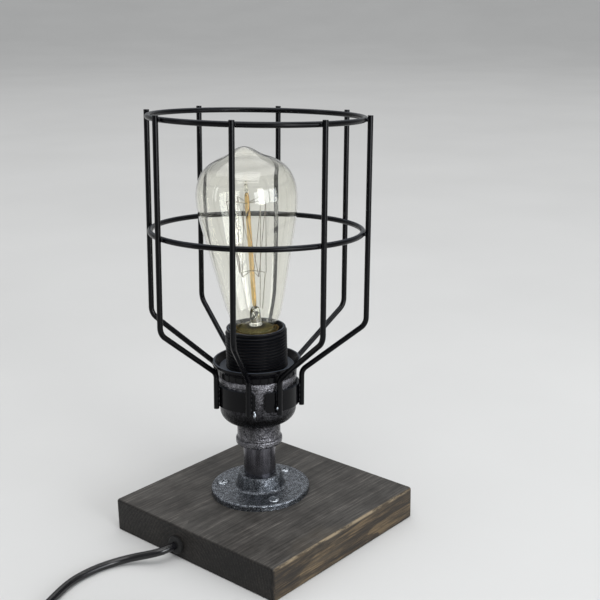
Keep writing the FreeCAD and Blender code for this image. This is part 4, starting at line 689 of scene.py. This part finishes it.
def make_bulb_mount():
    """Inside the envelope: cement round the stem's foot, the pinched press in clear glass, the
    amber rod that stands on it, and the clear button drawn out at its top."""
    cement = [(0.0, 1.6), (4.2, 1.5), (8.0, 1.0), (10.6, 0.5), (11.2, 0.1), (11.2, -0.8),
              (0.0, -0.8)]
    finished("basing_cement", spun(cement, BULB, 48), "bulb", "bulb_cap_glass",
             finish=basing_cement())

    press = [(0.0, 14.6), (1.8, 14.2), (3.2, 13.2), (4.2, 11.6), (4.3, 9.4), (3.9, 7.0),
             (3.8, 4.4), (4.2, 2.6), (4.8, 1.7), (0.0, 1.7)]
    mesh = spun(press, Matrix.Identity(4), 48)
    # It was pinched while soft, so round its middle it is wide one way and thin the other.
    pinch_height, pinch_reach, pinch_depth = 11.0, 5.0, 0.6
    for corner in mesh.verts:
        pinch = max(0.0, 1.0 - abs(corner.co.z - pinch_height) / pinch_reach)
        corner.co.y *= 1.0 - pinch_depth * pinch
    bmesh.ops.transform(mesh, matrix=BULB, verts=mesh.verts)
    clear = FINISHES["clear_glass"]
    rounded(finished("stem_and_press", mesh, "bulb", "stem_glass", ["bulb_stem"], finish=clear))

    rod = [(0.0, 88.6), (1.0, 88.2), (1.5, 86.4), (1.55, 84.0), (1.55, 60.0), (1.55, 36.0),
           (1.55, 16.0), (1.1, 14.4), (0.0, 14.2)]
    rounded(finished("amber_rod", spun(rod, BULB, 32), "bulb", "stem_glass"))
    button = [(0.0, 96.2), (0.45, 95.4), (1.0, 93.4), (1.45, 91.2), (1.3, 89.2), (0.0, 88.8)]
    rounded(finished("rod_button", spun(button, BULB, 24), "bulb", "stem_glass", finish=clear))


def make_flange_screws():
    """Three oval-head wood screws, a little proud of the flange, with their cross recesses cut
    out of them."""
    outline = [(0.0, 0.8), (1.2, 0.72), (2.4, 0.45), (3.3, 0.05), (3.6, -0.25), (3.45, -0.5),
               (1.9, -2.0), (1.9, -15.8), (0.5, -19.6), (0.0, -19.8)]
    recess_length, recess_width, recess_height = 4.2, 0.9, 2.0
    screws, recesses = bmesh.new(), bmesh.new()
    for index in range(3):
        spot = Vector((*LAMP_AXIS, FLANGE_TOP)) + polar(SCREW_CIRCLE, FIRST_SCREW + 120 * index)
        place = Matrix.Translation(spot) @ turned_by(20 + 35 * index)
        spun(outline, place, 32, screws)
        for size in ((recess_length, recess_width, recess_height),
                     (recess_width, recess_length, recess_height)):
            slot = place @ Matrix.Diagonal((*size, 1.0))
            bmesh.ops.create_cube(recesses, size=1.0, matrix=slot)
    cutter = mesh_object("recess_cutter", recesses, MM, smooth=False)
    piece = finished("oval_head_screws", screws, "lamp", "zinc_plated_steel", ["flange_screws"])
    recessing = piece.modifiers.new("Recessing", "BOOLEAN")
    recessing.operation = "DIFFERENCE"
    recessing.solver = "EXACT"
    recessing.object = cutter
    recessing.use_self = True
    bpy.context.view_layer.update()
    shaped = piece.evaluated_get(bpy.context.evaluated_depsgraph_get())
    cut = bpy.data.meshes.new_from_object(shaped)
    # The cut leaves slivers along its edges, a hundredth of a millimetre wide.
    sliver = 0.01 * MM
    mesh = bmesh.new()
    mesh.from_mesh(cut)
    bmesh.ops.dissolve_limit(mesh, angle_limit=0.001, verts=mesh.verts, edges=mesh.edges)
    bmesh.ops.remove_doubles(mesh, verts=mesh.verts, dist=sliver)
    bmesh.ops.dissolve_degenerate(mesh, edges=mesh.edges, dist=sliver)
    bmesh.ops.triangulate(mesh, faces=mesh.faces)
    mesh.to_mesh(cut)
    mesh.free()
    piece.modifiers.clear()
    piece.data = cut
    bpy.data.objects.remove(cutter)


def weld_bead(mesh, radius, angle, height, size, wobble):
    """One bead of weld: a rippled ball, stretched and set in the cage's own frame."""
    made = bmesh.ops.create_icosphere(mesh, subdivisions=2, radius=1.0)["verts"]
    for corner in made:
        ripple = 1.0 + 0.16 * math.sin(5.1 * corner.co.z + wobble + 3.0 * corner.co.x)
        corner.co = Vector(corner.co) * ripple
    bmesh.ops.scale(mesh, vec=size, verts=made)
    place = CAGE @ turned_by(angle) @ Matrix.Translation((radius, 0.0, height))
    bmesh.ops.transform(mesh, matrix=place, verts=made)


def make_cage_welds():
    """Short runs of weld under the paint: both sides of every rod at the band and the rings."""
    first_rib = -147.6
    foot_turns = [0.0, -5.0, 0.0, 0.0, 0.0, 0.0, -8.0, -9.0]
    on_band, on_rings = 28.1, 68.95
    beside_foot, beside_rod = 2.9, 1.35
    band_rows, ring_heights = (-4.6, -1.4, 2.2, 5.0), (107.2, 178.3)
    mesh = bmesh.new()
    for index, foot_turn in enumerate(foot_turns):
        rib = first_rib + 45.0 * index
        foot = rib + foot_turn
        for side in (-1, 1):
            for row, height in enumerate(band_rows):
                weld_bead(mesh, on_band, foot + side * beside_foot, height,
                          (0.75, 0.95, 1.9), index + 2.3 * row + side)
        for height in ring_heights:
            for side in (-1, 1):
                weld_bead(mesh, on_rings, rib + side * beside_rod, height,
                          (1.0, 0.75, 1.1), index + side)
    finished("cage_welds", mesh, "lamp", "black_painted_steel")

    # Three drips of weld under the band that the paint missed.
    mesh = bmesh.new()
    weld_bead(mesh, 28.2, first_rib + 7.5, -7.6, (0.9, 1.0, 2.4), 1.0)
    weld_bead(mesh, 28.6, first_rib + 7.0, -5.6, (0.7, 0.7, 1.0), 2.0)
    weld_bead(mesh, 29.6, first_rib + 36.5, -3.6, (0.6, 0.7, 1.2), 3.0)
    finished("bare_weld_drips", mesh, "lamp", "zinc_plated_steel")


def main():
    """The camera and the cords come first. The finer pieces come last."""
    make_camera()
    make_cords()
    paint_cad_nodes()
    make_lights()
    make_stage()
    make_flange_screws()
    make_holder_sleeve()
    make_bulb_glass()
    make_bulb_mount()
    make_cage_welds()


main()
